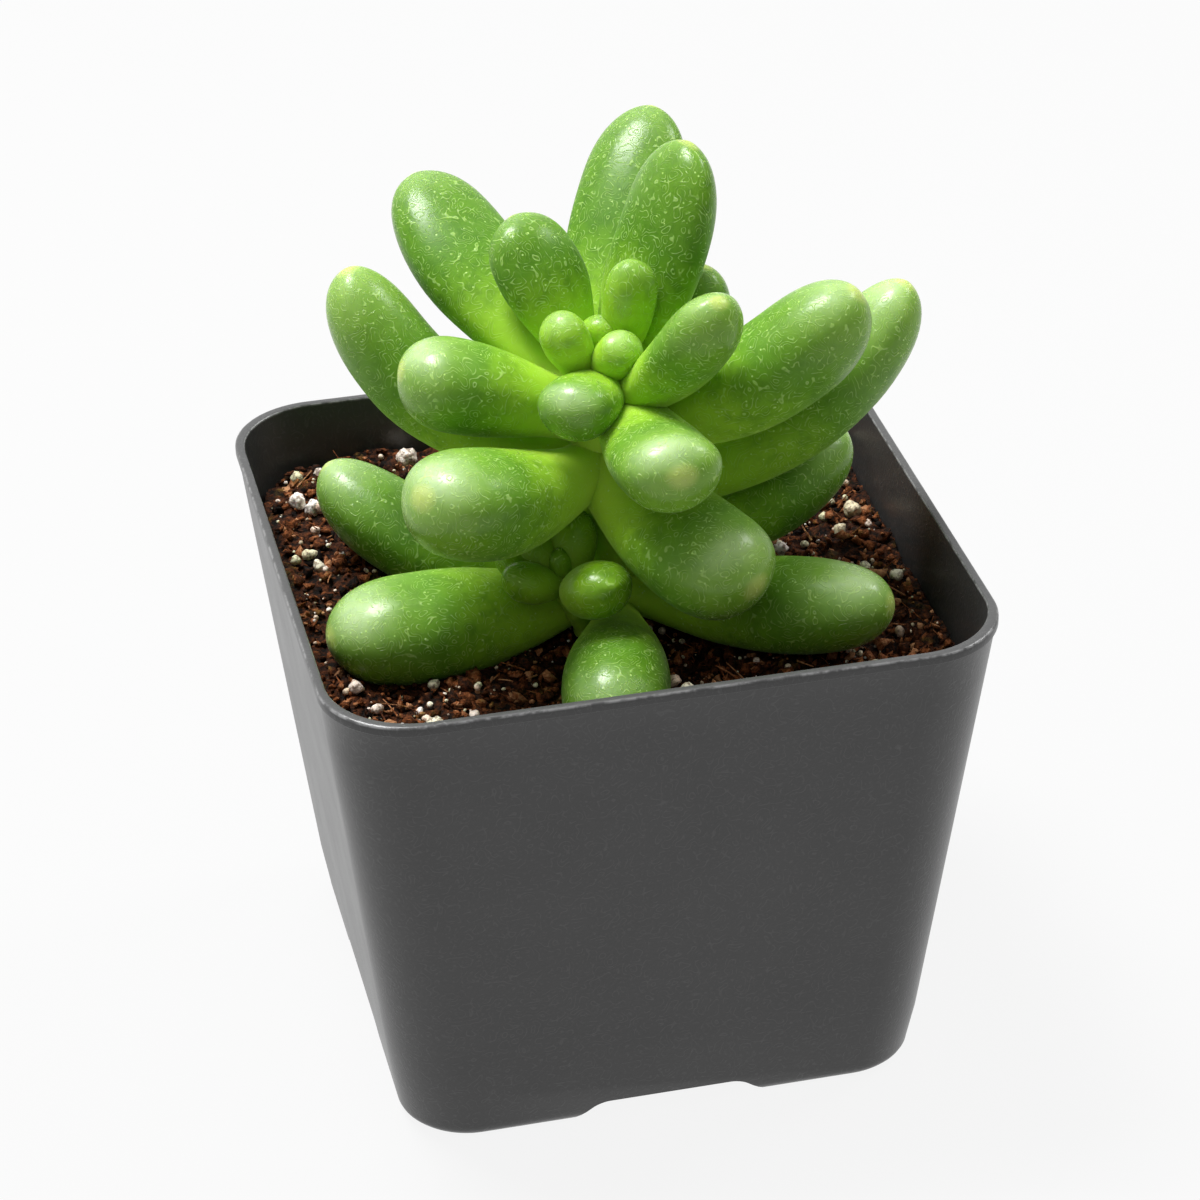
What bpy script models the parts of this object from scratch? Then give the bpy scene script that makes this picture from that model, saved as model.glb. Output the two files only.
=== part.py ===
"""Potted cremnosedum: a square nursery pot of soil with one fleshy rosette plant and a small offset.

Units are metres and +Z is up. The pot's front faces -Y, and the origin is the middle of its foot.
Every piece is one named object in the collection potted_cremnosedum.
"""

import math
import random
from collections import namedtuple

import bmesh
import bpy
from mathutils import Vector, noise

MM = 0.001

# Pot: a thin square shell that tapers down to four corner feet
POT_HEIGHT = 51.9 * MM
POT_TOP_HALF = 32.0 * MM
POT_FOOT_HALF = 25.8 * MM
TOP_CORNER = 9.7 * MM
FOOT_CORNER = 8.0 * MM
FOOT_EDGE = 1.6 * MM
WALL = 1.0 * MM
FLOOR = 1.2 * MM
LIP_HEIGHT = 1.3 * MM
LIP_STEP = 0.3 * MM
LIP_ROUND = 0.25 * MM
CORNER_STEPS = 6
CHANNEL_FOOT_WIDTH = 20.0 * MM
CHANNEL_TOP_WIDTH = 14.0 * MM
CHANNEL_HEIGHT = 2.2 * MM
CHANNEL_OVERRUN = 2.0 * MM
DRAIN_RADIUS = 2.6 * MM
DRAIN_REACH = 13.0 * MM
DRAIN_SIDES = 14

# Soil: fills the pot with a small gap, lies lower in front and is dented by the lowest leaves
GAP = 0.3 * MM
SOIL_LEVEL = 45.0 * MM
SOIL_SLOPE = 0.025
SOIL_LUMP = 0.9 * MM
SOIL_LUMP_SIZE = 5.0 * MM
FINE_LUMP_SIZE = 2.2 * MM
FINE_LUMP_SHARE = 0.5
SOIL_RINGS = 11
SOIL_SIDE_STEPS = 7
GRAIN_COUNT = 46
GRAIN_SIZES = (0.65 * MM, 1.25 * MM)
GRAIN_SEED = 7
GRAIN_WALL_CLEARANCE = 2.2 * MM
GRAIN_CORNER_SHARE = 1.2
SOIL_SIDE_TOP = 41.4 * MM

# Stem: leans back a little, from its foot in the soil up to the heart
STEM_RADIUS = 2.5 * MM
STEM_TOP_RADIUS = 2.2 * MM
STEM_GROUND = Vector((-0.5, -5.5, 45.0)) * MM
STEM_TOP = Vector((-1.5, -3.5, 71.5)) * MM
STEM_DEPTH = 11.0 * MM
STEM_SIDES = 16

# Offset: a small rosette with a stem of its own
OFFSET_GROUND = Vector((-7.4, -12.4, 45.0)) * MM
OFFSET_TOP = Vector((-6.3, -10.2, 51.8)) * MM
OFFSET_STEM_RADIUS = 1.2 * MM
OFFSET_DEPTH = 6.0 * MM

# Leaves: each is a ball drawn out along a bent spine
SPINE_STEPS = 40
LEAF_SIDES = 14
LEAF_RINGS = 11
SMALL_SIDES = 10
SMALL_RINGS = 8
BASE_ROUND = 0.06
SMALL_BELLY = 1.1
SHARP_ANGLE = 40

# height and seat say where on the stem a leaf is seated: millimetres up and degrees round.
# heading, rise: which way it sets out, in degrees. sweep, curl: how far each turns by the tip.
# neck is the base's width and wide the place of the greatest width, as shares. belly is how far
# the underside bulges past the upper side.
Leaf = namedtuple(
    "Leaf",
    "name height seat heading rise curl sweep length width thick neck wide belly",
    defaults=(0.40, 0.62, 1.14),
)

LEAVES = (
    Leaf("leaf_back_tall", 63.5, 85, 71, 30, 15, -15, 35.0, 10.8, 7.8),
    Leaf("leaf_back_inner", 66.5, 44, 37, 60, 12, -18, 25.0, 11.0, 6.2),
    Leaf("leaf_back_right", 60.0, 27, 34, 31, 45, 3, 20.5, 8.0, 6.4),
    Leaf("leaf_back_middle", 58.5, 79, 79, 3, 15, 0, 20.0, 9.0, 7.4),
    Leaf("leaf_left_back", 68.0, 105, 121, 17, 17, -13, 29.0, 11.2, 7.6),
    Leaf("leaf_left_inner", 70.5, 104, 116, 56, -9, 5, 14.5, 9.0, 6.4),
    Leaf("leaf_left_upper", 66.5, 165, 177, 23, -5, 2, 16.5, 10.0, 8.8),
    Leaf("leaf_left_far", 60.5, 137, 150, 3, 66, -9, 29.5, 9.6, 8.4),
    Leaf("leaf_front_left", 61.0, 214, 211, 1, 28, 0, 20.5, 12.0, 10.4, 0.46),
    Leaf("leaf_front_upper", 65.0, -78, -74, 3, 29, -7, 17.5, 9.8, 8.2),
    Leaf("leaf_front_right", 60.0, -50, -67, -20, 17, 11, 18.5, 12.0, 9.6),
    Leaf("leaf_right_inner", 68.0, -31, -47, 36, 24, -20, 18.5, 8.0, 6.0),
    Leaf("leaf_right", 64.5, -14, -15, 17, 33, 0, 26.0, 10.2, 9.6),
    Leaf("leaf_right_far", 57.5, 8, 3, 4, 55, 4, 34.0, 9.6, 8.4),
    Leaf("leaf_right_low", 51.0, 3, 15, 2, 25, 6, 25.0, 9.6, 8.4),
    Leaf("leaf_ground_left_back", 49.5, 115, 149, -23, 65, -11, 30.0, 9.6, 8.4),
    Leaf("leaf_ground_left", 47.5, 188, 189, -3, 10, -2, 25.5, 12.4, 10.2, 0.38, 0.62, 1.0),
    Leaf("leaf_ground_front", 46.0, -89, -103, -2, 5, -3, 20.0, 10.2, 9.0, 0.40, 0.62, 1.0),
    Leaf("leaf_ground_right", 47.5, -32, -33, 1, 12, 2, 25.5, 10.2, 9.0, 0.40, 0.62, 1.0),
    Leaf("leaf_ground_back", 53.0, 98, 110, 0, 14, 0, 19.0, 9.0, 7.4),
    Leaf("leaf_ground_back_right", 50.0, 64, 63, 0, 14, 0, 20.0, 9.0, 7.4),
)

GROUND_LEAVES = (
    "leaf_ground_left_back",
    "leaf_ground_left",
    "leaf_ground_front",
    "leaf_ground_right",
)

# The heart's and the offset's leaves are fused to their stem, so they start inside it.
# reach is how far from the stem's middle line a small leaf starts, in millimetres.
Small = namedtuple("Small", "height reach seat heading rise curl length width thick neck wide")

HEART_LEAVES = (
    Small(70.2, 1.4, -112, -114, 5, 8, 9.0, 8.9, 6.8, 0.55, 0.60),
    Small(71.0, 0.8, 195, 198, 60, 8, 6.5, 5.4, 4.6, 0.55, 0.60),
    Small(71.0, 1.0, 75, 75, 78, 5, 4.8, 3.1, 3.0, 0.55, 0.60),
    Small(71.0, 1.2, -55, -55, 50, 10, 6.0, 5.4, 4.6, 0.55, 0.60),
    Small(71.0, 1.7, -25, -15, 74, 10, 10.6, 4.4, 5.7, 0.50, 0.62),
    Small(72.6, 0.3, 180, 180, 80, 0, 1.9, 1.4, 1.4, 0.60, 0.55),
)

OFFSET_LEAVES = (
    Small(51.2, 0.6, 60, 60, 54, 8, 6.6, 5.2, 4.0, 0.50, 0.55),
    Small(51.4, 0.6, 127, 127, 45, 10, 6.2, 4.5, 3.8, 0.50, 0.55),
    Small(51.7, 0.6, 182, 182, 30, 12, 5.6, 4.7, 4.0, 0.50, 0.55),
    Small(51.8, 0.2, 107, 107, 80, 5, 4.0, 3.0, 2.6, 0.50, 0.55),
    Small(51.9, 0.8, -78, -78, 24, 8, 7.6, 6.5, 5.0, 0.50, 0.55),
    Small(51.6, 0.6, 155, 155, 22, 10, 6.0, 3.2, 3.0, 0.50, 0.55),
)

# Colours, roughness
PLASTIC = ((0.055, 0.055, 0.057), 0.55)
SOIL_BROWN = ((0.075, 0.035, 0.020), 0.95)
STEM_GREEN = ((0.42, 0.55, 0.12), 0.45)
OFFSET_GREEN = ((0.10, 0.27, 0.03), 0.40)
LEAF_GREEN = ((0.20, 0.40, 0.07), 0.38)


def clear_scene():
    for obj in list(bpy.data.objects):
        bpy.data.objects.remove(obj)


def new_collection(name, parent=None):
    collection = bpy.data.collections.new(name)
    (parent or bpy.context.scene.collection).children.link(collection)
    return collection


def new_material(name, look):
    colour, roughness = look
    material = bpy.data.materials.new(name)
    material.use_nodes = True
    shader = material.node_tree.nodes["Principled BSDF"]
    shader.inputs["Base Color"].default_value = (*colour, 1.0)
    shader.inputs["Roughness"].default_value = roughness
    shader.inputs["Metallic"].default_value = 0.0
    return material


def new_object(name, bm, collection):
    """Turns the edit mesh into an object, with smooth faces and sharp edges where it folds."""
    mesh = bpy.data.meshes.new(name)
    bm.to_mesh(mesh)
    bm.free()
    mesh.shade_smooth()
    mesh.set_sharp_from_angle(angle=math.radians(SHARP_ANGLE))
    obj = bpy.data.objects.new(name, mesh)
    collection.objects.link(obj)
    return obj


def add_boolean(obj, operation, collection):
    """Cuts or joins with all of a collection."""
    modifier = obj.modifiers.new(operation.lower(), "BOOLEAN")
    modifier.operation = operation
    modifier.solver = "EXACT"
    modifier.operand_type = "COLLECTION"
    modifier.collection = collection


def apply_modifiers(obj):
    graph = bpy.context.evaluated_depsgraph_get()
    solid = bpy.data.meshes.new_from_object(obj.evaluated_get(graph))
    obj.modifiers.clear()
    obj.data = solid


def fuse(base, pieces):
    """Joins the pieces into the base as one closed body, then removes them."""
    group = new_collection(base.name + "_pieces")
    for piece in pieces:
        for owner in list(piece.users_collection):
            owner.objects.unlink(piece)
        group.objects.link(piece)
    add_boolean(base, "UNION", group)
    apply_modifiers(base)
    for piece in pieces:
        bpy.data.objects.remove(piece)
    bpy.data.collections.remove(group)


def hide(obj):
    obj.hide_render = True
    obj.display_type = "WIRE"


# Lofts between rounded squares


def rounded_square(half, corner, z, side_steps=1):
    """Points round a square with round corners, at one height."""
    turns = []
    middle = half - corner
    for quarter, (sign_x, sign_y) in enumerate(((1, 1), (-1, 1), (-1, -1), (1, -1))):
        for step in range(CORNER_STEPS + 1):
            angle = math.radians(90 * (quarter + step / CORNER_STEPS))
            x = sign_x * middle + corner * math.cos(angle)
            y = sign_y * middle + corner * math.sin(angle)
            turns.append(Vector((x, y, z)))
    points = []
    for i, point in enumerate(turns):
        points.append(point)
        if i % (CORNER_STEPS + 1) == CORNER_STEPS:
            onward = turns[(i + 1) % len(turns)]
            points += [point.lerp(onward, step / side_steps) for step in range(1, side_steps)]
    return points


def loft(rings, peak=None):
    """Joins unlike rings from bottom to top and closes the ends, the top one by a peak if given."""
    bm = bmesh.new()
    loops = [[bm.verts.new(point) for point in ring] for ring in rings]
    count = len(loops[0])
    for lower, upper in zip(loops, loops[1:]):
        for i in range(count):
            j = (i + 1) % count
            bm.faces.new((lower[i], lower[j], upper[j], upper[i]))
    bm.faces.new(list(reversed(loops[0])))
    if peak is None:
        bm.faces.new(loops[-1])
    else:
        top = bm.verts.new(peak)
        for i in range(count):
            bm.faces.new((loops[-1][i], loops[-1][(i + 1) % count], top))
    return bm


def outer_half(z):
    """Half the pot's width at a height, on the wall's outside."""
    share = z / POT_HEIGHT
    return POT_FOOT_HALF + (POT_TOP_HALF - LIP_STEP - POT_FOOT_HALF) * share


def outer_corner(z):
    return FOOT_CORNER + (TOP_CORNER - FOOT_CORNER) * z / POT_HEIGHT


def wall_ring(z, inset, side_steps=1):
    """The wall's outline at a height, moved in by an inset."""
    return rounded_square(outer_half(z) - inset, outer_corner(z) - inset, z, side_steps)


def channel_bar(name, along_x, grow, collection):
    """A long bar with sloping sides: the shape of one drain channel under the floor."""
    bm = bmesh.new()
    bmesh.ops.create_cube(bm, size=1.0)
    height = CHANNEL_HEIGHT + grow
    bottom = -CHANNEL_OVERRUN
    slope = (CHANNEL_FOOT_WIDTH - CHANNEL_TOP_WIDTH) / CHANNEL_HEIGHT
    for vert in bm.verts:
        z = height if vert.co.z > 0 else bottom
        width = CHANNEL_FOOT_WIDTH + 2 * grow - slope * (z - grow)
        across = width * vert.co.y
        lengthways = (2 * POT_TOP_HALF + CHANNEL_OVERRUN) * vert.co.x
        vert.co = (lengthways, across, z) if along_x else (-across, lengthways, z)
    hide(new_object(name, bm, collection))


def channel_bars(name, grow, collection):
    for axis in ("x", "y"):
        channel_bar(f"{name}_{axis}", axis == "x", grow, collection)


def build_pot(parts, cutters):
    foot = []
    for angle in (0, math.radians(30), math.radians(60), math.radians(90)):
        inset = FOOT_EDGE * (1 - math.sin(angle))
        foot.append(rounded_square(outer_half(0) - inset, FOOT_CORNER - inset,
                                   FOOT_EDGE * (1 - math.cos(angle))))
    lip_foot = POT_HEIGHT - LIP_HEIGHT
    wall = [wall_ring(z, 0) for z in (POT_HEIGHT / 3, 2 * POT_HEIGHT / 3, lip_foot)]
    lip = [
        rounded_square(POT_TOP_HALF, TOP_CORNER, lip_foot + LIP_ROUND),
        rounded_square(POT_TOP_HALF, TOP_CORNER, POT_HEIGHT - LIP_ROUND),
        rounded_square(POT_TOP_HALF - LIP_ROUND, TOP_CORNER - LIP_ROUND, POT_HEIGHT),
    ]
    pot = new_object("pot", loft(foot + wall + lip), parts)

    floor_bars = new_collection("floor_bars", cutters)
    channel_bars("floor_bar", FLOOR, floor_bars)
    pot_cutters = new_collection("pot_cutters", cutters)
    rings = [wall_ring(FLOOR, WALL), wall_ring(POT_HEIGHT + LIP_HEIGHT, WALL)]
    inside = new_object("pot_inside", loft(rings), pot_cutters)
    hide(inside)
    add_boolean(inside, "DIFFERENCE", floor_bars)
    channel_bars("channel", 0.0, pot_cutters)
    for x, y in ((0, 0), (1, 0), (-1, 0), (0, 1), (0, -1)):
        drain_cutter(x * DRAIN_REACH, y * DRAIN_REACH, pot_cutters)
    add_boolean(pot, "DIFFERENCE", pot_cutters)
    return pot


def drain_cutter(x, y, collection):
    bm = bmesh.new()
    bmesh.ops.create_cone(bm, cap_ends=True, segments=DRAIN_SIDES, radius1=DRAIN_RADIUS,
                          radius2=DRAIN_RADIUS, depth=2 * (CHANNEL_HEIGHT + FLOOR + CHANNEL_OVERRUN))
    bmesh.ops.translate(bm, verts=bm.verts, vec=(x, y, CHANNEL_HEIGHT))
    hide(new_object("drain", bm, collection))


# Leaves


def direction(heading, rise):
    """A unit vector from two angles in degrees."""
    turn = math.radians(heading)
    lift = math.radians(rise)
    flat = math.cos(lift)
    return Vector((flat * math.cos(turn), flat * math.sin(turn), math.sin(lift)))


def upward(heading, rise):
    """The normal of the leaf's upper side where it runs in that direction."""
    return direction(heading, rise + 90)


def stem_point(height_mm, ground=STEM_GROUND, top=STEM_TOP):
    share = (height_mm * MM - ground.z) / (top.z - ground.z)
    return ground.lerp(top, share)


def leaf_spine(start, heading, rise, curl, sweep, length):
    """Points and directions along the leaf's middle line, as (point, forward, up)."""
    step = length / SPINE_STEPS
    point = start.copy()
    spine = []
    for i in range(SPINE_STEPS + 1):
        share = i / SPINE_STEPS
        forward = direction(heading + sweep * share, rise + curl * share)
        spine.append((point.copy(), forward, upward(heading + sweep * share, rise + curl * share)))
        middle = (i + 0.5) / SPINE_STEPS
        point += direction(heading + sweep * middle, rise + curl * middle) * step
    return spine


def spine_at(spine, share):
    """The spine's point, and the leaf's side and up, at a share of its length."""
    place = min(max(share, 0.0), 1.0) * SPINE_STEPS
    i = min(int(place), SPINE_STEPS - 1)
    part = place - i
    point = spine[i][0].lerp(spine[i + 1][0], part)
    forward = spine[i][1].lerp(spine[i + 1][1], part).normalized()
    up = spine[i][2].lerp(spine[i + 1][2], part).normalized()
    return point, up.cross(forward).normalized(), up


def leaf_width(share, neck, wide):
    """Half width as a share of the greatest: a neck, a swelling and a round end."""
    round_base = max(0.0, 1 - share / BASE_ROUND)
    start = math.sqrt(max(0.0, 1 - round_base ** 2))
    if share < wide:
        swell = math.sin(share / wide * math.pi / 2) ** 1.25
        return (neck + (1 - neck) * swell) * start
    past = (share - wide) / (1 - wide)
    return math.sqrt(max(0.0, 1 - past ** 2.2)) * start


def leaf_solid(spine, width, thick, neck, wide, belly, sides, rings, grow=0.0):
    """A ball whose poles are the leaf's base and tip, drawn out along the spine."""
    bm = bmesh.new()
    bmesh.ops.create_uvsphere(bm, u_segments=sides, v_segments=rings, radius=1.0)
    length = sum((b[0] - a[0]).length for a, b in zip(spine, spine[1:]))
    for vert in bm.verts:
        x, y, z = vert.co
        share = (z + 1) / 2
        point, side, up = spine_at(spine, share)
        size = leaf_width(share, neck, wide)
        around = max(math.hypot(x, y), 1e-9)
        across = x / around * (size * width / 2 + (grow if size > 0 else 0))
        bulge = (2 - belly) if y > 0 else belly
        out = y / around * (size * thick / 2 * bulge + (grow if size > 0 else 0))
        vert.co = point + side * across + up * out
        if grow and size == 0:
            end = 1 if share > 0.5 else -1
            vert.co += side.cross(up) * end * grow
    return bm


def leaf_seat(leaf):
    """Where the leaf starts: a gap away from the stem's side."""
    return stem_point(leaf.height) + direction(leaf.seat, 0) * (STEM_RADIUS + GAP)


def large_leaf(leaf, name, collection, grow=0.0):
    spine = leaf_spine(leaf_seat(leaf), leaf.heading, leaf.rise, leaf.curl, leaf.sweep,
                       leaf.length * MM)
    bm = leaf_solid(spine, leaf.width * MM, leaf.thick * MM, leaf.neck, leaf.wide, leaf.belly,
                    LEAF_SIDES, LEAF_RINGS, grow)
    return new_object(name, bm, collection)


def small_leaf(leaf, name, ground, top, collection):
    start = stem_point(leaf.height, ground, top) + direction(leaf.seat, 0) * leaf.reach * MM
    spine = leaf_spine(start, leaf.heading, leaf.rise, leaf.curl, 0, leaf.length * MM)
    bm = leaf_solid(spine, leaf.width * MM, leaf.thick * MM, leaf.neck, leaf.wide, SMALL_BELLY,
                    SMALL_SIDES, SMALL_RINGS)
    return new_object(name, bm, collection)


# Stems


def stem_solid(name, foot, top, foot_radius, top_radius, sides, collection):
    """A tapering round bar between two points."""
    bm = bmesh.new()
    along = top - foot
    bmesh.ops.create_cone(bm, cap_ends=True, segments=sides, radius1=foot_radius,
                          radius2=top_radius, depth=along.length)
    turn = along.to_track_quat("Z", "Y").to_matrix()
    bmesh.ops.rotate(bm, verts=bm.verts, matrix=turn)
    bmesh.ops.translate(bm, verts=bm.verts, vec=(foot + top) / 2)
    return new_object(name, bm, collection)


def below(ground, top, depth):
    """The point on a stem's line that lies a depth under the ground."""
    return ground - (top - ground) * (depth / (top.z - ground.z))


def build_stem(parts):
    foot = below(STEM_GROUND, STEM_TOP, STEM_DEPTH)
    stem = stem_solid("stem_with_heart", foot, STEM_TOP, STEM_RADIUS, STEM_TOP_RADIUS, STEM_SIDES, parts)
    leaves = [
        small_leaf(leaf, f"heart_leaf_{i}", STEM_GROUND, STEM_TOP, parts)
        for i, leaf in enumerate(HEART_LEAVES)
    ]
    fuse(stem, leaves)
    return stem


def build_offset(parts):
    foot = below(OFFSET_GROUND, OFFSET_TOP, OFFSET_DEPTH)
    stem = stem_solid("offset_rosette", foot, OFFSET_TOP, OFFSET_STEM_RADIUS, OFFSET_STEM_RADIUS,
                      SMALL_SIDES, parts)
    leaves = [
        small_leaf(leaf, f"offset_leaf_{i}", OFFSET_GROUND, OFFSET_TOP, parts)
        for i, leaf in enumerate(OFFSET_LEAVES)
    ]
    fuse(stem, leaves)
    return stem


# Soil


def soil_height(x, y):
    """The soil's surface: a gentle slope down to the front, with lumps."""
    spot = Vector((x, y, 0))
    lump = noise.noise(spot / SOIL_LUMP_SIZE)
    lump += FINE_LUMP_SHARE * noise.noise(spot / FINE_LUMP_SIZE)
    return SOIL_LEVEL + SOIL_SLOPE * y + SOIL_LUMP * lump


def soil_ring(share):
    """A ring of the soil's top, at a share of the way from the middle to the wall."""
    points = []
    for edge in wall_ring(SOIL_LEVEL, WALL + GAP, SOIL_SIDE_STEPS):
        height = soil_height(edge.x * share, edge.y * share)
        fit = (outer_half(height) - WALL - GAP) / (outer_half(SOIL_LEVEL) - WALL - GAP)
        points.append(Vector((edge.x * share * fit, edge.y * share * fit, height)))
    return points


def places_taken():
    """Where the stems and the lowest leaves meet the soil, as (x, y, radius)."""
    taken = [
        (STEM_GROUND.x, STEM_GROUND.y, STEM_RADIUS),
        (OFFSET_GROUND.x, OFFSET_GROUND.y, OFFSET_STEM_RADIUS),
    ]
    for leaf in LEAVES:
        if leaf.name in GROUND_LEAVES:
            spine = leaf_spine(leaf_seat(leaf), leaf.heading, leaf.rise, leaf.curl, leaf.sweep,
                               leaf.length * MM)
            taken += [(point.x, point.y, leaf.width * MM / 2) for point, _, _ in spine]
    return taken


def soil_grains(collection):
    """White grains that lie in the surface, placed at random, clear of walls, stems and leaves."""
    random.seed(GRAIN_SEED)
    grains = []
    reach = outer_half(SOIL_LEVEL) - WALL - GRAIN_WALL_CLEARANCE
    taken = places_taken()
    while len(grains) < GRAIN_COUNT:
        x = random.uniform(-reach, reach)
        y = random.uniform(-reach, reach)
        radius = random.uniform(*GRAIN_SIZES)
        in_corner = math.hypot(x, y) > reach * GRAIN_CORNER_SHARE
        if in_corner or any(math.hypot(x - a, y - b) < c + radius for a, b, c in taken):
            continue
        bm = bmesh.new()
        bmesh.ops.create_icosphere(bm, subdivisions=1, radius=radius)
        bmesh.ops.translate(bm, verts=bm.verts, vec=(x, y, soil_height(x, y)))
        grains.append(new_object(f"grain_{len(grains)}", bm, collection))
    return grains


def build_soil(parts, cutters):
    side = [
        wall_ring(z, WALL + GAP, SOIL_SIDE_STEPS)
        for z in (FLOOR + GAP, SOIL_SIDE_TOP)
    ]
    rings = side + [soil_ring(1 - i / SOIL_RINGS) for i in range(SOIL_RINGS)]
    soil = new_object("soil", loft(rings, peak=Vector((0, 0, soil_height(0, 0)))), parts)
    fuse(soil, soil_grains(parts))

    soil_cutters = new_collection("soil_cutters", cutters)
    channel_bars("soil_channel", FLOOR + GAP, soil_cutters)
    for leaf in LEAVES:
        if leaf.name in GROUND_LEAVES:
            hide(large_leaf(leaf, leaf.name + "_dent", soil_cutters, grow=GAP))
    holes = (
        ("stem_hole", STEM_GROUND, STEM_TOP, STEM_DEPTH, STEM_RADIUS, STEM_SIDES),
        ("offset_hole", OFFSET_GROUND, OFFSET_TOP, OFFSET_DEPTH, OFFSET_STEM_RADIUS, SMALL_SIDES),
    )
    for name, ground, top, depth, radius, sides in holes:
        deepest = below(ground, top, depth + GAP)
        hide(stem_solid(name, deepest, ground.lerp(top, 0.5), radius + GAP, radius + GAP, sides,
                        soil_cutters))
    add_boolean(soil, "DIFFERENCE", soil_cutters)
    return soil


def main():
    clear_scene()
    parts = new_collection("potted_cremnosedum")
    cutters = new_collection("cutters")
    looks = (
        (build_pot(parts, cutters), "pot_plastic", PLASTIC),
        (build_soil(parts, cutters), "soil_mix", SOIL_BROWN),
        (build_stem(parts), "stem_green", STEM_GREEN),
        (build_offset(parts), "offset_green", OFFSET_GREEN),
    )
    for obj, name, look in looks:
        obj.data.materials.append(new_material(name, look))
    for leaf in LEAVES:
        obj = large_leaf(leaf, leaf.name, parts)
        obj.data.materials.append(new_material(leaf.name + "_green", LEAF_GREEN))


main()
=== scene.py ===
# %% [markdown]
# A potted cremnosedum, dressed for a portrait
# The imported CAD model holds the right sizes: a square nursery pot, its soil, a leaning stem and some
# twenty fleshy leaves. CAD leaves are coarse and plain, so this lesson grows finer ones in the same
# places, mixes real-looking soil, and finishes every surface with patterns made from nodes.
# The frame is loaded first, because everything else is measured from it.

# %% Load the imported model
import math
import random
from collections import namedtuple

import bmesh
import bpy
from mathutils import Matrix, Vector, noise
from mathutils.bvhtree import BVHTree


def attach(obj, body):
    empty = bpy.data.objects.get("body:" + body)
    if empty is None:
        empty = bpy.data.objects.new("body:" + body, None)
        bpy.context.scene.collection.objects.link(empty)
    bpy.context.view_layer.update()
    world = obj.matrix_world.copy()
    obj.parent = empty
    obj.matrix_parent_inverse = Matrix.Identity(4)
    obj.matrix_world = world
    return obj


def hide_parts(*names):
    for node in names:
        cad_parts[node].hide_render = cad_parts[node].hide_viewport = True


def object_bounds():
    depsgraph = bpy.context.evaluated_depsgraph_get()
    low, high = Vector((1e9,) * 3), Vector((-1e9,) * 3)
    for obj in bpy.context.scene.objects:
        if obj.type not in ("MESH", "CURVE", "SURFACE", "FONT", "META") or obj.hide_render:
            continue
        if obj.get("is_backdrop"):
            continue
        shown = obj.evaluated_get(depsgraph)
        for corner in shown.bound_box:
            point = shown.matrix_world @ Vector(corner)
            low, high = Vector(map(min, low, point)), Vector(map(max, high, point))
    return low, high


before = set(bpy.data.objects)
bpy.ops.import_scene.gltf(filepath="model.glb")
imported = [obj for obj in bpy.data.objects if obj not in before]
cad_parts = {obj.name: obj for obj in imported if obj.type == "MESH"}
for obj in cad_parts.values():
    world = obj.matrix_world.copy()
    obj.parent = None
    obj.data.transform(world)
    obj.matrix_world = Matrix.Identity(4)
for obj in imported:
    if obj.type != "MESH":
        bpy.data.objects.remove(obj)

MM = 0.001
TINY = 1e-9
scene = bpy.context.scene
cad_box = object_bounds()
print("CAD box in mm:", [[round(x / MM, 1) for x in corner] for corner in cad_box])

# %% [markdown]
# The camera
# The photograph looks down at the pot from a little to its left with a long lens, so the pot's sides
# nearly keep their slope. A camera can be placed by hand in the viewport, or worked out from an
# azimuth, an elevation and a distance. The second way is exact and easy to correct, so it is used here.

# %% Place the camera
AZIMUTH = math.radians(-12.7)
ELEVATION = math.radians(30.73)
ROLL = math.radians(-1.09)
DISTANCE = 416.07 * MM
TARGET = Vector((4.51, 21.44, 30.0)) * MM
PICTURE_SIZE = 1200
FOCAL_PIXELS = 4000
SENSOR_WIDTH = 36.0

back = Vector((
    math.sin(AZIMUTH) * math.cos(ELEVATION),
    -math.cos(AZIMUTH) * math.cos(ELEVATION),
    math.sin(ELEVATION),
))
level_right = Vector((math.cos(AZIMUTH), math.sin(AZIMUTH), 0.0))
level_up = back.cross(level_right)
right = level_right * math.cos(ROLL) + level_up * math.sin(ROLL)
up = level_up * math.cos(ROLL) - level_right * math.sin(ROLL)

camera_data = bpy.data.cameras.new("camera")
camera_data.sensor_width = SENSOR_WIDTH
camera_data.lens = FOCAL_PIXELS / PICTURE_SIZE * SENSOR_WIDTH
camera = bpy.data.objects.new("camera", camera_data)
turn = Matrix((right, up, back)).transposed()
camera.matrix_world = Matrix.Translation(TARGET + back * DISTANCE) @ turn.to_4x4()
scene.collection.objects.link(camera)
scene.camera = camera
print("Lens in mm:", camera_data.lens)

# %% [markdown]
# Helpers for pieces and finishes
# Each piece is a mesh made with edit-mesh operators and then linked to the scene. Each finish is a
# material of nodes. Node trees can be drawn by hand, but a few short helpers make them readable in a
# script: each one adds a node and gives back its output, so a finish reads like a recipe.

# %% Turn an edit mesh into a piece of the plant
def new_piece(name, bm, material, nodes=()):
    """Makes the edit mesh a piece that stands for the named CAD nodes."""
    mesh = bpy.data.meshes.new(name)
    bm.to_mesh(mesh)
    bm.free()
    mesh.shade_smooth()
    mesh.materials.append(material)
    piece = bpy.data.objects.new(name, mesh)
    scene.collection.objects.link(piece)
    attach(piece, "root")
    if nodes:
        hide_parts(*nodes)
    return piece


# %% Build a finish from nodes
class Recipe:
    """A tree of nodes being filled: add makes one node and gives one of its outputs."""

    def __init__(self, tree):
        self.tree = tree

    def set(self, socket, value):
        if isinstance(value, bpy.types.NodeSocket):
            self.tree.links.new(value, socket)
        else:
            socket.default_value = value

    def add(self, kind, values, output=0, **settings):
        made = self.tree.nodes.new(kind)
        for setting, value in settings.items():
            setattr(made, setting, value)
        for socket, value in values.items():
            self.set(made.inputs[socket], value)
        return made.outputs[output]


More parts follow.
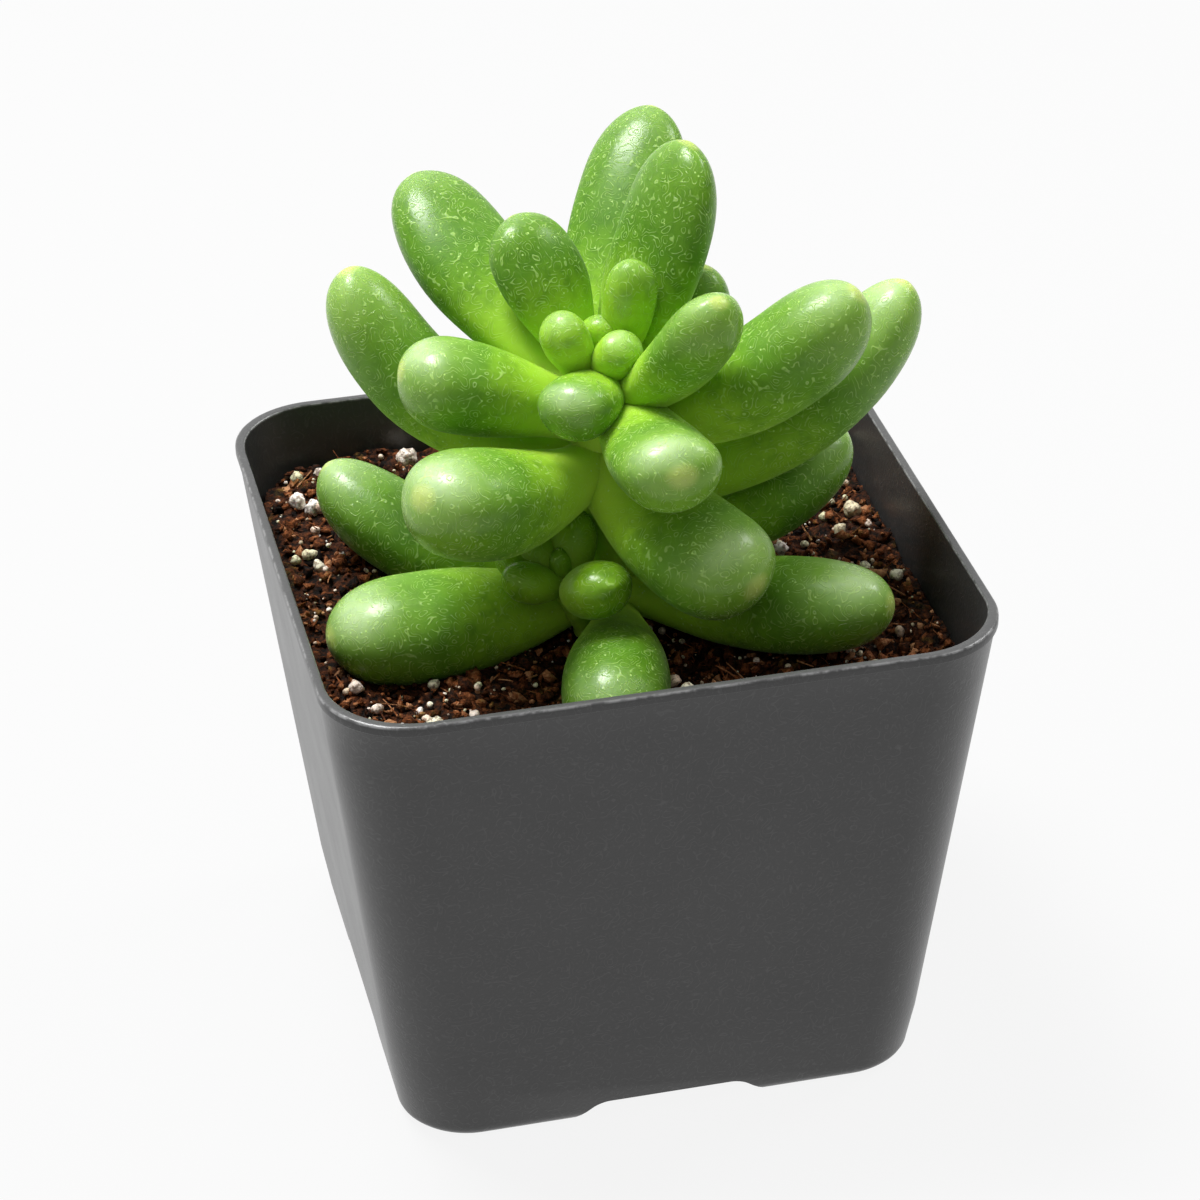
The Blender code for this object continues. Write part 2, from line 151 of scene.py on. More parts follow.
class Finish(Recipe):
    """A material being mixed: each method adds one node and gives its output."""

    def __init__(self, name):
        self.material = bpy.data.materials.new(name)
        self.material.use_nodes = True
        super().__init__(self.material.node_tree)
        self.shader = self.tree.nodes["Principled BSDF"]
        self.place = self.add("ShaderNodeTexCoord", {}, "Object")

    def feed(self, socket, value):
        """Gives a value or a pattern to one of the shader's sockets."""
        self.set(self.shader.inputs[socket], value)

    def attribute(self, name):
        return self.add("ShaderNodeAttribute", {}, "Fac", attribute_name=name)

    def noise(self, size, detail=2.0, roughness=0.5):
        values = {"Vector": self.place, "Scale": 1 / size, "Detail": detail, "Roughness": roughness}
        return self.add("ShaderNodeTexNoise", values, "Fac")

    def cells(self, size):
        """The distance to the nearest of many scattered points."""
        return self.add("ShaderNodeTexVoronoi", {"Vector": self.place, "Scale": 1 / size}, "Distance")

    def math(self, operation, a, b):
        return self.add("ShaderNodeMath", {0: a, 1: b}, operation=operation)

    def times(self, a, b):
        return self.math("MULTIPLY", a, b)

    def plus(self, a, b):
        return self.math("ADD", a, b)

    def blend_range(self, value, low, high, start=0.0, end=1.0):
        """Runs smoothly from start to end while the value goes from low to high."""
        values = {"Value": value, "From Min": low, "From Max": high, "To Min": start, "To Max": end}
        return self.add("ShaderNodeMapRange", values, interpolation_type="SMOOTHSTEP")

    def mix(self, share, a, b):
        """Goes from colour a to colour b by a share. The sockets are the node's colour sockets."""
        return self.add("ShaderNodeMix", {0: share, 6: a, 7: b}, 2, data_type="RGBA")

    def ramp(self, value, *stops):
        """A colour ramp from (position, colour) stops."""
        made = self.tree.nodes.new("ShaderNodeValToRGB")
        elements = made.color_ramp.elements
        while len(elements) < len(stops):
            elements.new(1.0)
        for element, (position, tone) in zip(elements, stops):
            element.position = position
            element.color = tone
        self.set(made.inputs["Fac"], value)
        return made.outputs["Color"]

    def bump(self, height, distance):
        return self.add("ShaderNodeBump", {"Height": height, "Distance": distance, "Strength": 1.0})

    def threads(self, size, levels, width):
        """Short curly lines: the contour lines of a smooth noise, broken up by a second noise."""
        wave = self.times(self.noise(size, detail=0.0), levels)
        off_line = self.math("PINGPONG", wave, 0.5)
        line = self.blend_range(off_line, width * 0.3, width, 1.0, 0.0)
        broken = self.blend_range(self.noise(size * 0.7, detail=1.0), 0.42, 0.56, 0.1, 1.0)
        return self.times(line, broken)


def colour(red, green, blue):
    return (red, green, blue, 1.0)


def grey(value):
    return colour(value, value, value)


# %% [markdown]
# The flesh of the leaves
# A cremnosedum leaf is a bag of water with a waxy skin. It is yellow-green and translucent where it
# joins the stem, plain green along its middle, and whitened by a fine bloom of wax towards the end,
# where a small cream spot marks the tip. A single colour would look like plastic. The patterns could
# be painted on an image, but here every leaf carries numbers on its points instead: how far along it
# the point lies, how waxy the leaf is, and how much painted highlight lies there. The wax is painted
# fainter on the sides turned from the key light, a painted shade. The painted highlight is a whitish
# patch on the side of a leaf's end that faces the key light, less on a steep or a bare leaf. Leaves
# with little wax get a darker outer part, a painted shade. One set of nodes then serves every leaf,
# old or young.

# %% Mix the leaf flesh
BASE_GREEN = colour(0.45, 0.70, 0.050)
YOUNG_GREEN = colour(0.31, 0.57, 0.022)
MID_GREEN = colour(0.100, 0.265, 0.004)
OUTER_GREEN = colour(0.135, 0.300, 0.010)
DARK_GREEN = colour(0.060, 0.180, 0.002)
# The pale wax film is partly the leaf's wax and partly painted light, and the whitish colour after it
# is a painted highlight.
WAX_AND_PAINTED_LIGHT = colour(0.42, 0.62, 0.17)
PAINTED_HIGHLIGHT_WHITE = colour(0.74, 0.86, 0.64)
CREAM = colour(0.66, 0.72, 0.22)
DOT_PALE = colour(0.56, 0.80, 0.26)
CLOUD_SIZE = 5.0 * MM
FINE_CLOUD_SIZE = 1.4 * MM
THREAD_SIZE = 1.05 * MM
THREAD_LEVELS = 6.0
THREAD_WIDTH = 0.15
THREAD_SHARE = 0.38
DOT_SPACING = 0.95 * MM
DOT_SHARE = 0.75
TIP_START = 0.984
TIP_SHARE = 0.45
MATT = 0.74
GLOSSY = 0.24
SKIN_RELIEF = 0.04 * MM
LIGHT_REACH = 3.4 * MM


def leaf_finish(name, dark, painted_shade, matt_until, gloss_from):
    """Leaf flesh. dark is how far all of it goes towards the older green, and the painted shade how
    much further the outer part goes.

    The skin is matt up to one share of the leaf's length, and glossy from another one on.
    """
    leaf = Finish(name)
    along = leaf.attribute("along")
    wax = leaf.attribute("wax")
    cloud = leaf.noise(CLOUD_SIZE, 3.0, 0.55)
    fine_cloud = leaf.noise(FINE_CLOUD_SIZE, 3.0, 0.6)
    shifted = leaf.plus(along, leaf.times(leaf.math("SUBTRACT", cloud, 0.5), 0.25))
    green = leaf.ramp(
        shifted, (0.06, BASE_GREEN), (0.30, YOUNG_GREEN), (0.62, MID_GREEN), (1.0, OUTER_GREEN)
    )
    mottle = leaf.blend_range(fine_cloud, 0.40, 0.70, 0.0, 0.45)
    mottle = leaf.times(mottle, leaf.blend_range(along, 0.15, 0.50))
    # Painted shade: on the leaves with little wax the outer part is painted darker.
    outer_dark_and_painted_shade = leaf.blend_range(along, 0.25, 0.60, dark, dark + painted_shade)
    green = leaf.mix(leaf.plus(mottle, outer_dark_and_painted_shade), green, DARK_GREEN)

    threads = leaf.threads(THREAD_SIZE, THREAD_LEVELS, THREAD_WIDTH)
    threads = leaf.times(threads, leaf.blend_range(along, 0.10, 0.50, 0.25, 1.0))
    dots = leaf.blend_range(leaf.cells(DOT_SPACING), 0.06, 0.13, 1.0, 0.0)
    # Partly painted light: the pale wax film follows the wax on the points, which is fainter on the
    # sides turned from the key light.
    wax_film_and_painted_light = leaf.times(leaf.blend_range(along, matt_until, 1.0), wax)
    wax_film_and_painted_light = leaf.times(wax_film_and_painted_light, leaf.blend_range(cloud, 0.25, 0.75, 0.45, 1.0))
    skin = leaf.mix(wax_film_and_painted_light, green, WAX_AND_PAINTED_LIGHT)
    # Painted highlight: a whitish patch where a leaf's end faces the key light, broken into patches.
    patchy = leaf.blend_range(cloud, 0.25, 0.75, 0.6, 1.0)
    skin = leaf.mix(leaf.times(leaf.attribute("painted_highlight"), patchy), skin, PAINTED_HIGHLIGHT_WHITE)
    skin = leaf.mix(leaf.times(threads, THREAD_SHARE), skin, DOT_PALE)
    skin = leaf.mix(leaf.times(dots, DOT_SHARE), skin, DOT_PALE)
    tip = leaf.times(leaf.blend_range(along, TIP_START, 1.0), TIP_SHARE)
    skin = leaf.mix(tip, skin, CREAM)
    leaf.feed("Base Color", skin)

    shine = leaf.blend_range(along, matt_until, gloss_from, MATT, GLOSSY)
    rough = leaf.plus(leaf.times(threads, 0.06), shine)
    rough = leaf.plus(rough, leaf.times(wax_film_and_painted_light, 0.05))
    leaf.feed("Roughness", rough)
    relief = leaf.plus(threads, leaf.times(fine_cloud, 0.8))
    leaf.feed("Normal", leaf.bump(relief, SKIN_RELIEF))
    leaf.feed("Subsurface Weight", 0.45)
    leaf.feed("Subsurface Radius", (0.9, 1.0, 0.25))
    leaf.feed("Subsurface Scale", LIGHT_REACH)
    leaf.feed("IOR", 1.34)
    leaf.feed("Sheen Weight", 0.12)
    leaf.feed("Sheen Roughness", 0.30)
    leaf.feed("Sheen Tint", colour(0.85, 1.0, 0.65))
    return leaf.material


leaf_skin = leaf_finish("leaf_flesh", dark=0.0, painted_shade=0.0, matt_until=0.50, gloss_from=0.88)
# Painted shade: a darker copy of the flesh for the leaves with little wax.
painted_shade_skin = leaf_finish("leaf_flesh_painted_shade", dark=0.0, painted_shade=0.38, matt_until=0.50, gloss_from=0.88)
young_skin = leaf_finish("leaf_flesh_young", dark=0.0, painted_shade=0.0, matt_until=0.05, gloss_from=0.36)
offset_skin = leaf_finish("offset_flesh", dark=0.40, painted_shade=0.0, matt_until=0.05, gloss_from=0.36)
print("Leaf finishes:", leaf_skin.name, painted_shade_skin.name, young_skin.name, offset_skin.name)

# %% [markdown]
# The shape of one leaf
# Each leaf is a ball stretched along a bent line. The line starts inside the stem, sets out at a
# heading and a rise, and turns a little on its way. A ball from the sphere operator already has two
# poles and even rings, so moving its points onto the line gives a closed leaf with no loose ends.
# Leaves could also be sculpted by hand, but a table of directions keeps them close to the CAD solids.

# %% Follow a bent line
SPINE_STEPS = 60


def direction(heading, rise):
    """A unit vector from two angles in degrees."""
    flat = math.cos(math.radians(rise))
    return Vector((
        flat * math.cos(math.radians(heading)),
        flat * math.sin(math.radians(heading)),
        math.sin(math.radians(rise)),
    ))


def leaf_spine(start, leaf, sink):
    """Points and directions along the leaf, from a little inside the stem to the tip."""
    heading, rise = leaf.heading, leaf.rise
    spine = []
    length = leaf.length * MM
    steps_in = math.ceil(sink / length * SPINE_STEPS)
    step = length / SPINE_STEPS
    point = start - direction(heading, rise) * step * steps_in
    for i in range(-steps_in, SPINE_STEPS + 1):
        share = max(0.0, i / SPINE_STEPS)
        turned = heading + leaf.sweep * share, rise + leaf.curl * share
        rising = direction(turned[0], turned[1] + 90)
        spine.append((i / SPINE_STEPS, point.copy(), direction(*turned), rising))
        middle = max(0.0, (i + 0.5) / SPINE_STEPS)
        point += direction(heading + leaf.sweep * middle, rise + leaf.curl * middle) * step
    return spine


def spine_at(spine, share):
    """The place on the leaf, its point, side, forward and up, at a share of the whole line."""
    place = min(max(share, 0.0), 1.0) * (len(spine) - 1)
    i = min(int(place), len(spine) - 2)
    part = place - i
    on_leaf = spine[i][0] + (spine[i + 1][0] - spine[i][0]) * part
    point = spine[i][1].lerp(spine[i + 1][1], part)
    forward = spine[i][2].lerp(spine[i + 1][2], part).normalized()
    rising = spine[i][3].lerp(spine[i + 1][3], part).normalized()
    return on_leaf, point, rising.cross(forward).normalized(), forward, rising


# %% Swell a ball into a leaf
BASE_ROUND = 0.05
SWELL_POWER = 1.25
END_POWER = 2.7
ROUND_END = 0.5
POINTED_END = 0.78
# The painted highlight: a whitish patch on the side of a leaf's end that faces the key light.
PAINTED_HIGHLIGHT = 0.72
PAINTED_LIGHT_FACING = Vector((-0.28, -0.24, 0.93)).normalized()
PAINTED_HIGHLIGHT_POWER = 5
PAINTED_HIGHLIGHT_START = 0.76
PAINTED_HIGHLIGHT_LEAST = 0.15
PAINTED_HIGHLIGHT_LYING_POWER = 1.5
PAINTED_HIGHLIGHT_FULL_WAX = 0.42
# How much of the wax film stays on the sides turned from the key light: a painted shade.
WAX_ON_SHADED_SIDE = 0.25
UNEVEN = 0.22 * MM
UNEVEN_SIZE = 7.0 * MM
TIP_POINT = 0.10 * MM
TIP_REACH = 0.9 * MM


def leaf_width(on_leaf, leaf, from_base):
    """Half width as a share of the greatest: a neck, a swelling and a round end."""
    start = math.sqrt(max(0.0, 1 - max(0.0, 1 - from_base / BASE_ROUND) ** 2))
    if on_leaf < leaf.wide:
        swell = math.sin(max(0.0, on_leaf) / leaf.wide * math.pi / 2) ** SWELL_POWER
        return (leaf.neck + (1 - leaf.neck) * swell) * start
    past = (on_leaf - leaf.wide) / (1 - leaf.wide)
    return max(0.0, 1 - past ** END_POWER) ** leaf.taper * start


def painted_highlight_at(on_leaf, leaf, normal):
    """A painted highlight: a whitish patch on the side of a leaf's end that faces the key light, less
    on a steep or a bare leaf.
    """
    end = min(max((on_leaf - PAINTED_HIGHLIGHT_START) / (1 - PAINTED_HIGHLIGHT_START), 0.0), 1.0)
    lying = max(PAINTED_HIGHLIGHT_LEAST, math.cos(math.radians(leaf.rise + leaf.curl)))
    most = PAINTED_HIGHLIGHT * leaf.wax / PAINTED_HIGHLIGHT_FULL_WAX * lying ** PAINTED_HIGHLIGHT_LYING_POWER
    return most * end * max(0.0, normal.dot(PAINTED_LIGHT_FACING)) ** PAINTED_HIGHLIGHT_POWER


def grow_leaf(bm, start, leaf, sides, rings, sink, age=1.0):
    """Adds one leaf to the edit mesh, and notes on its points how far along and how waxy they are, and
    how much painted highlight lies there. The wax is painted fainter on the sides turned from the key
    light, a painted shade.

    age is how much of the range of greens, from the base's to the tip's, the leaf runs through.
    """
    layers = bm.verts.layers.float
    along, wax, painted_highlight = [layers.new(name) for name in ("along", "wax", "painted_highlight")]
    spine = leaf_spine(start, leaf, sink)
    made = bmesh.ops.create_uvsphere(bm, u_segments=sides, v_segments=rings, radius=1.0)
    for vert in made["verts"]:
        x, y, z = vert.co
        share = (z + 1) / 2
        on_leaf, point, side, forward, rising = spine_at(spine, share)
        size = leaf_width(on_leaf, leaf, share)
        around = max(math.hypot(x, y), TINY)
        bulge = (2 - leaf.belly) if y > 0 else leaf.belly
        across = side * (x / around * size * leaf.width * MM / 2)
        out = rising * (y / around * size * leaf.thick * MM / 2 * bulge)
        place = point + across + out
        rough = noise.noise(place / UNEVEN_SIZE)
        place += (across + out).normalized() * UNEVEN * rough * size
        if share > 0.5:
            place += forward * TIP_POINT * math.exp(-((across + out).length / TIP_REACH) ** 2)
        vert.co = place
        vert[along] = max(0.0, on_leaf)
    bm.normal_update()
    for vert in made["verts"]:
        # Painted shade and highlight: the wax fades on sides turned from the key light, and a whitish
        # patch lies on the side that faces it.
        facing_light = max(0.0, vert.normal.dot(PAINTED_LIGHT_FACING))
        vert[wax] = leaf.wax * (WAX_ON_SHADED_SIDE + (1 - WAX_ON_SHADED_SIDE) * facing_light)
        vert[painted_highlight] = painted_highlight_at(vert[along], leaf, vert.normal)
        vert[along] *= age


# %% [markdown]
# The large leaves
# Twenty-one leaves sit round the stem: a ring of upright young ones, a wide ring of long arching ones,
# and six old ones that lie on the soil or just above it. The table holds the CAD solids' lengths,
# widths and angles, with a few trimmed to the photograph. The necks are wider here and start
# inside the stem, because on the real plant the bases crowd together so that no stem shows.

# %% List the large leaves
# height and seat say where on the stem a leaf starts: millimetres up and degrees round.
# heading and rise: which way it sets out, in degrees. curl and sweep: how far each turns by the tip.
# neck: its base's width as a share of the greatest. wide: where on its length it is widest.
# belly: how much of its thickness lies below. taper: 0.5 for a round tip, more for a sharp one.
# wax: how waxy a leaf is. It also sets its painted highlight, and a leaf below this limit gets the
# flesh with painted shade.
PAINTED_SHADE_WAX_LIMIT = 0.32
STEM_RADIUS = 2.5 * MM
STEM_TOP_RADIUS = 2.2 * MM
GAP = 0.3 * MM
STEM_GROUND = Vector((-0.5, -5.5, 45.0)) * MM
STEM_TOP = Vector((-1.5, -3.5, 71.5)) * MM
LEAF_SIDES = 56
LEAF_RINGS = 48
LEAF_SINK = 2.4 * MM

Leaf = namedtuple(
    "Leaf",
    "name height seat heading rise curl sweep length width thick wax neck wide belly taper",
    defaults=(0.3, 0.50, 0.62, 1.14, ROUND_END),
)

LEAVES = (
    Leaf("leaf_back_tall", 63.5, 85, 71, 30, 15, -15, 34.2, 10.8, 7.8, 0.14),
    Leaf("leaf_back_inner", 66.5, 44, 37, 60, 12, -18, 25.0, 11.0, 6.2, 0.16),
    Leaf("leaf_back_right", 60.0, 27, 34, 31, 45, 3, 20.5, 8.0, 6.4, 0.30),
    Leaf("leaf_back_middle", 58.5, 79, 79, 3, 15, 0, 20.0, 9.0, 7.4, 0.40),
    Leaf("leaf_left_back", 68.0, 105, 121, 17, 17, -13, 28.5, 11.2, 7.6, 0.12),
    Leaf("leaf_left_inner", 70.5, 104, 116, 56, -9, 5, 14.5, 9.0, 6.4, 0.12),
    Leaf("leaf_left_upper", 66.5, 165, 177, 23, -5, 2, 16.5, 10.0, 8.8, 0.42, 0.60),
    Leaf("leaf_left_far", 60.5, 137, 150, 3, 66, -9, 29.5, 9.6, 8.4, 0.45),
    Leaf("leaf_front_left", 61.0, 214, 211, 1, 28, 0, 20.5, 12.0, 10.4, 0.46, 0.52),
    Leaf("leaf_front_upper", 67.3, -32, -84, -9.5, 28, -3, 17.6, 9.8, 7.4, 0.44, 0.62, 0.74),
    Leaf("leaf_front_right", 60.0, -50, -67, -20, 15, 11, 18.7, 12.2, 9.8, 0.60, 0.72),
    Leaf("leaf_right_inner", 68.0, -31, -47, 37, 24, -20, 18.5, 8.0, 6.3, 0.38, 0.64),
    Leaf("leaf_right", 64.5, -14, -15, 17, 33, 0, 26.0, 10.2, 9.6, 0.40, 0.52),
    Leaf("leaf_right_far", 57.5, 8, 3, 4, 55, 4, 34.0, 9.6, 8.4, 0.60),
    Leaf("leaf_right_low", 51.0, 3, 15, 2, 25, 6, 25.0, 9.6, 8.4, 0.55, 0.46),
    Leaf("leaf_ground_left_back", 49.5, 115, 149, -23, 65, -11, 30.0, 9.6, 8.4, 0.30),
    Leaf("leaf_ground_left", 47.5, 188, 189, -3, 10, -2, 25.5, 12.4, 10.2, 0.40, 0.42, 0.62, 1.0),
    Leaf("leaf_ground_front", 46.0, -89, -103, -2, 5, -3, 20.0, 10.2, 9.0, 0.22, 0.42, 0.62, 1.0),
    Leaf("leaf_ground_right", 47.5, -32, -33, 1, 12, 2, 25.5, 10.2, 9.0, 0.50, 0.44, 0.62, 1.0),
    Leaf("leaf_ground_back", 53.0, 98, 110, 0, 14, 0, 19.0, 9.0, 7.4, 0.45),
    Leaf("leaf_ground_back_right", 50.0, 64, 63, 0, 14, 0, 20.0, 9.0, 7.4, 0.45),
)


def on_stem(height, ground=STEM_GROUND, top=STEM_TOP):
    return ground.lerp(top, (height * MM - ground.z) / (top.z - ground.z))


# %% Grow the large leaves
leaf_pieces = []
for leaf in LEAVES:
    bm = bmesh.new()
    seat = on_stem(leaf.height) + direction(leaf.seat, 0) * (STEM_RADIUS + GAP)
    grow_leaf(bm, seat, leaf, LEAF_SIDES, LEAF_RINGS, LEAF_SINK)
    # Leaves with little wax get the darker flesh, a painted shade.
    flesh = painted_shade_skin if leaf.wax < PAINTED_SHADE_WAX_LIMIT else leaf_skin
    leaf_pieces.append(new_piece(leaf.name + "_flesh", bm, flesh, [leaf.name]))
print("Large leaves:", len(leaf_pieces))

# %% [markdown]
# The heart and the stem
# The newest leaves are still beads round a bud, paler and brighter than the others. The stem below
# them is a smooth, slightly tapering bar, ringed where old leaves once sat. A cone from the cone
# operator, cut into short lengths, gives enough rings to swell it gently at each scar. A plain
# cylinder would do where the leaves hide the stem, but its top shows between the young leaves.

# %% Grow the heart
# reach: how far from the stem's middle line a leaf starts, in millimetres.
Small = namedtuple(
    "Small",
    "name height reach seat heading rise curl length width thick neck wide wax age sweep belly taper",
    defaults=(0.60, 0.44, 0.0, 1.1, ROUND_END),
)
SMALL_SIDES = 32
SMALL_RINGS = 24

HEART_LEAVES = (
    Small("heart_leaf_front", 69.5, 1.6, -60, -128, 4, 6, 9.2, 7.4, 5.8, 0.66, 0.62, 0.42, 0.80),
    Small("heart_leaf_left", 70.7, 0.8, 195, 198, 62, 8, 6.7, 5.1, 4.7, 0.68, 0.60),
    Small("heart_leaf_back", 71.8, 0.8, -20, 60, 80, 4, 3.8, 3.9, 3.7, 0.66, 0.60),
    Small("heart_leaf_right", 70.7, 1.3, -58, -58, 48, 10, 5.4, 4.8, 4.5, 0.60, 0.60),
    Small("heart_leaf_tall", 70.5, 2.2, 8, 0, 76, 8, 10.6, 4.3, 5.3, 0.55, 0.62, 0.50, 0.54),
    Small("heart_bud", 72.6, 0.3, 180, 180, 80, 0, 1.9, 1.4, 1.4, 0.60, 0.55),
)


def grow_small_leaf(leaf, ground, top, skin):
    bm = bmesh.new()
    start = on_stem(leaf.height, ground, top) + direction(leaf.seat, 0) * leaf.reach * MM
    grow_leaf(bm, start, leaf, SMALL_SIDES, SMALL_RINGS, 0.0, leaf.age)
    return new_piece(leaf.name, bm, skin)


heart_pieces = [
    grow_small_leaf(leaf, STEM_GROUND, STEM_TOP, young_skin) for leaf in HEART_LEAVES
]
print("Heart leaves:", len(heart_pieces))

# %% Grow a stem
STEM_SIDES = 40
STEM_CUTS = 48
SCAR_SPACING = 2.6 * MM
SCAR_SWELL = 0.18 * MM
SCAR_SHARPNESS = 4
STEM_UNEVEN_TIMES = 3
STEM_ALONG = 0.12


def grow_stem(name, ground, top, depth, foot_radius, top_radius, skin, nodes):
    """A tapering round bar from under the soil up to the heart, swollen a little at each scar."""
    bm = bmesh.new()
    along = bm.verts.layers.float.new("along")
    bm.verts.layers.float.new("wax")
    axis = top - ground
    foot = ground - axis * (depth / axis.z)
    length = (top - foot).length
    bmesh.ops.create_cone(
        bm, cap_ends=True, segments=STEM_SIDES, radius1=foot_radius, radius2=top_radius, depth=length
    )
    uprights = [edge for edge in bm.edges if abs(edge.verts[0].co.z - edge.verts[1].co.z) > length / 2]
    bmesh.ops.subdivide_edges(bm, edges=uprights, cuts=STEM_CUTS)
    for vert in bm.verts:
        flat = Vector((vert.co.x, vert.co.y, 0))
        scar = max(0.0, math.cos(vert.co.z / SCAR_SPACING * 2 * math.pi)) ** SCAR_SHARPNESS
        uneven = noise.noise(vert.co / UNEVEN_SIZE * STEM_UNEVEN_TIMES)
        vert.co += flat.normalized() * SCAR_SWELL * (scar + uneven)
        vert[along] = STEM_ALONG
    turned = axis.to_track_quat("Z", "Y").to_matrix()
    bmesh.ops.rotate(bm, verts=bm.verts, matrix=turned)
    bmesh.ops.translate(bm, verts=bm.verts, vec=(foot + top) / 2)
    return new_piece(name, bm, skin, nodes)


STEM_DEPTH = 11.0 * MM
stem = grow_stem(
    "stem_flesh", STEM_GROUND, STEM_TOP, STEM_DEPTH, STEM_RADIUS, STEM_TOP_RADIUS,
    leaf_skin, ["stem_with_heart"],
)
print("Stem rises to", round(STEM_TOP.z / MM, 1), "mm")

# %% [markdown]
# The offset
# A tiny second rosette sits in the shade at the foot of the stem. Its leaves are a deeper green and
# more pointed. It is made with the same two helpers as the heart, on a short stem of its own, since
# an offset grows just as the heart does.

# %% Grow the offset
OFFSET_GROUND = Vector((-3.8, -8.5, 45.0)) * MM
OFFSET_TOP = Vector((-6.3, -10.2, 51.8)) * MM
OFFSET_STEM_RADIUS = 0.9 * MM
OFFSET_DEPTH = 6.0 * MM

OFFSET_NECK = 0.50
OFFSET_WIDE = 0.50
OFFSET_WAX = 0.05
OFFSET_ROWS = (
    ("offset_leaf_right", 51.2, 0.6, 60, 60, 58, 8, 7.4, 5.0, 4.0),
    ("offset_leaf_back", 51.4, 0.6, 127, 127, 45, 10, 6.8, 4.6, 3.8),
    ("offset_leaf_left", 51.4, 0.2, 182, 196, 20, 12, 6.6, 4.8, 3.9),
    ("offset_bud", 51.2, 0.2, 107, 107, 80, 5, 3.8, 2.5, 2.3),
    ("offset_leaf_front", 51.6, 1.2, -40, -72, 22, 8, 8.4, 6.8, 5.4),
    ("offset_leaf_low", 51.6, 0.6, 155, 155, 22, 10, 6.6, 3.4, 3.0),
)
OFFSET_LEAVES = [
    Small(*row, OFFSET_NECK, OFFSET_WIDE, OFFSET_WAX, taper=POINTED_END) for row in OFFSET_ROWS
]

offset_pieces = [
    grow_small_leaf(leaf, OFFSET_GROUND, OFFSET_TOP, offset_skin)
    for leaf in OFFSET_LEAVES
]
offset_stem = grow_stem(
    "offset_stem_flesh", OFFSET_GROUND, OFFSET_TOP, OFFSET_DEPTH, OFFSET_STEM_RADIUS,
    OFFSET_STEM_RADIUS, offset_skin, ["offset_rosette"],
)
print("Offset leaves:", len(offset_pieces))

# %% [markdown]
# The pot
# Nursery pots are moulded from thin black polypropylene. The walls lean outwards, the corners are
# round, a narrow lip runs round the top, and two shallow channels cross the foot so that water can
# leave. The outline starts as one square face whose corners are beveled. Extruding that face upwards
# and spreading it makes the walls, because every ring then has the same round corners. The inside is
# the same face, set in by the wall and pushed down again.

# %% Give the pot its sizes
POT_HEIGHT = 51.9 * MM
POT_TOP_HALF = 32.0 * MM
POT_FOOT_HALF = 25.8 * MM
FOOT_CORNER = 8.0 * MM
FOOT_EDGE = 1.6 * MM
FOOT_EDGE_STEPS = 6
WALL = 1.0 * MM
FLOOR = 1.2 * MM
LIP_HEIGHT = 1.0 * MM
LIP_STEP = 0.08 * MM
LIP_THICK = 0.85 * MM
LIP_ROUND = 0.30 * MM
LIP_ROUND_STEPS = 6
LIP_FOOT_SHARE = 0.4
LIP_FOOT_RISE = 0.05 * MM
LIP_INNER_EDGE = 0.12 * MM
CORNER_SEGMENTS = 20
WALL_RINGS = 12
WELD = 0.001 * MM
CHANNEL_FOOT_WIDTH = 20.0 * MM
CHANNEL_TOP_WIDTH = 14.0 * MM
CHANNEL_HEIGHT = 2.2 * MM
CHANNEL_ROUND = 0.9 * MM
CHANNEL_ROUND_STEPS = 6
CHANNEL_LENGTH = 3 * POT_TOP_HALF
DRAIN_RADIUS = 2.6 * MM
DRAIN_REACH = 13.0 * MM
DRAIN_SIDES = 36
DRAIN_DEPTH = 4 * CHANNEL_HEIGHT
SOFT_EDGE = 0.5 * MM
SOFT_EDGE_STEPS = 3
SOFT_EDGE_ANGLE = math.radians(32)
print("Pot in mm:", round(2 * POT_TOP_HALF / MM, 1), "wide,", round(POT_HEIGHT / MM, 1), "high")

# %% Mix the black plastic
PLASTIC_CLOUD_SIZE = 9.0 * MM
GRAIN_SIZE = 0.35 * MM
SWIRL_SIZE = 1.2 * MM
EDGE_HIGHLIGHT_BREAK_SIZE = 1.3 * MM
LIP_TOP_LIGHT_FROM = POT_HEIGHT - 0.08 * MM
EDGE_HIGHLIGHT_FROM = POT_HEIGHT - 0.30 * MM
EDGE_HIGHLIGHT_FULL = POT_HEIGHT - 0.16 * MM
PLASTIC_RELIEF = 0.02 * MM


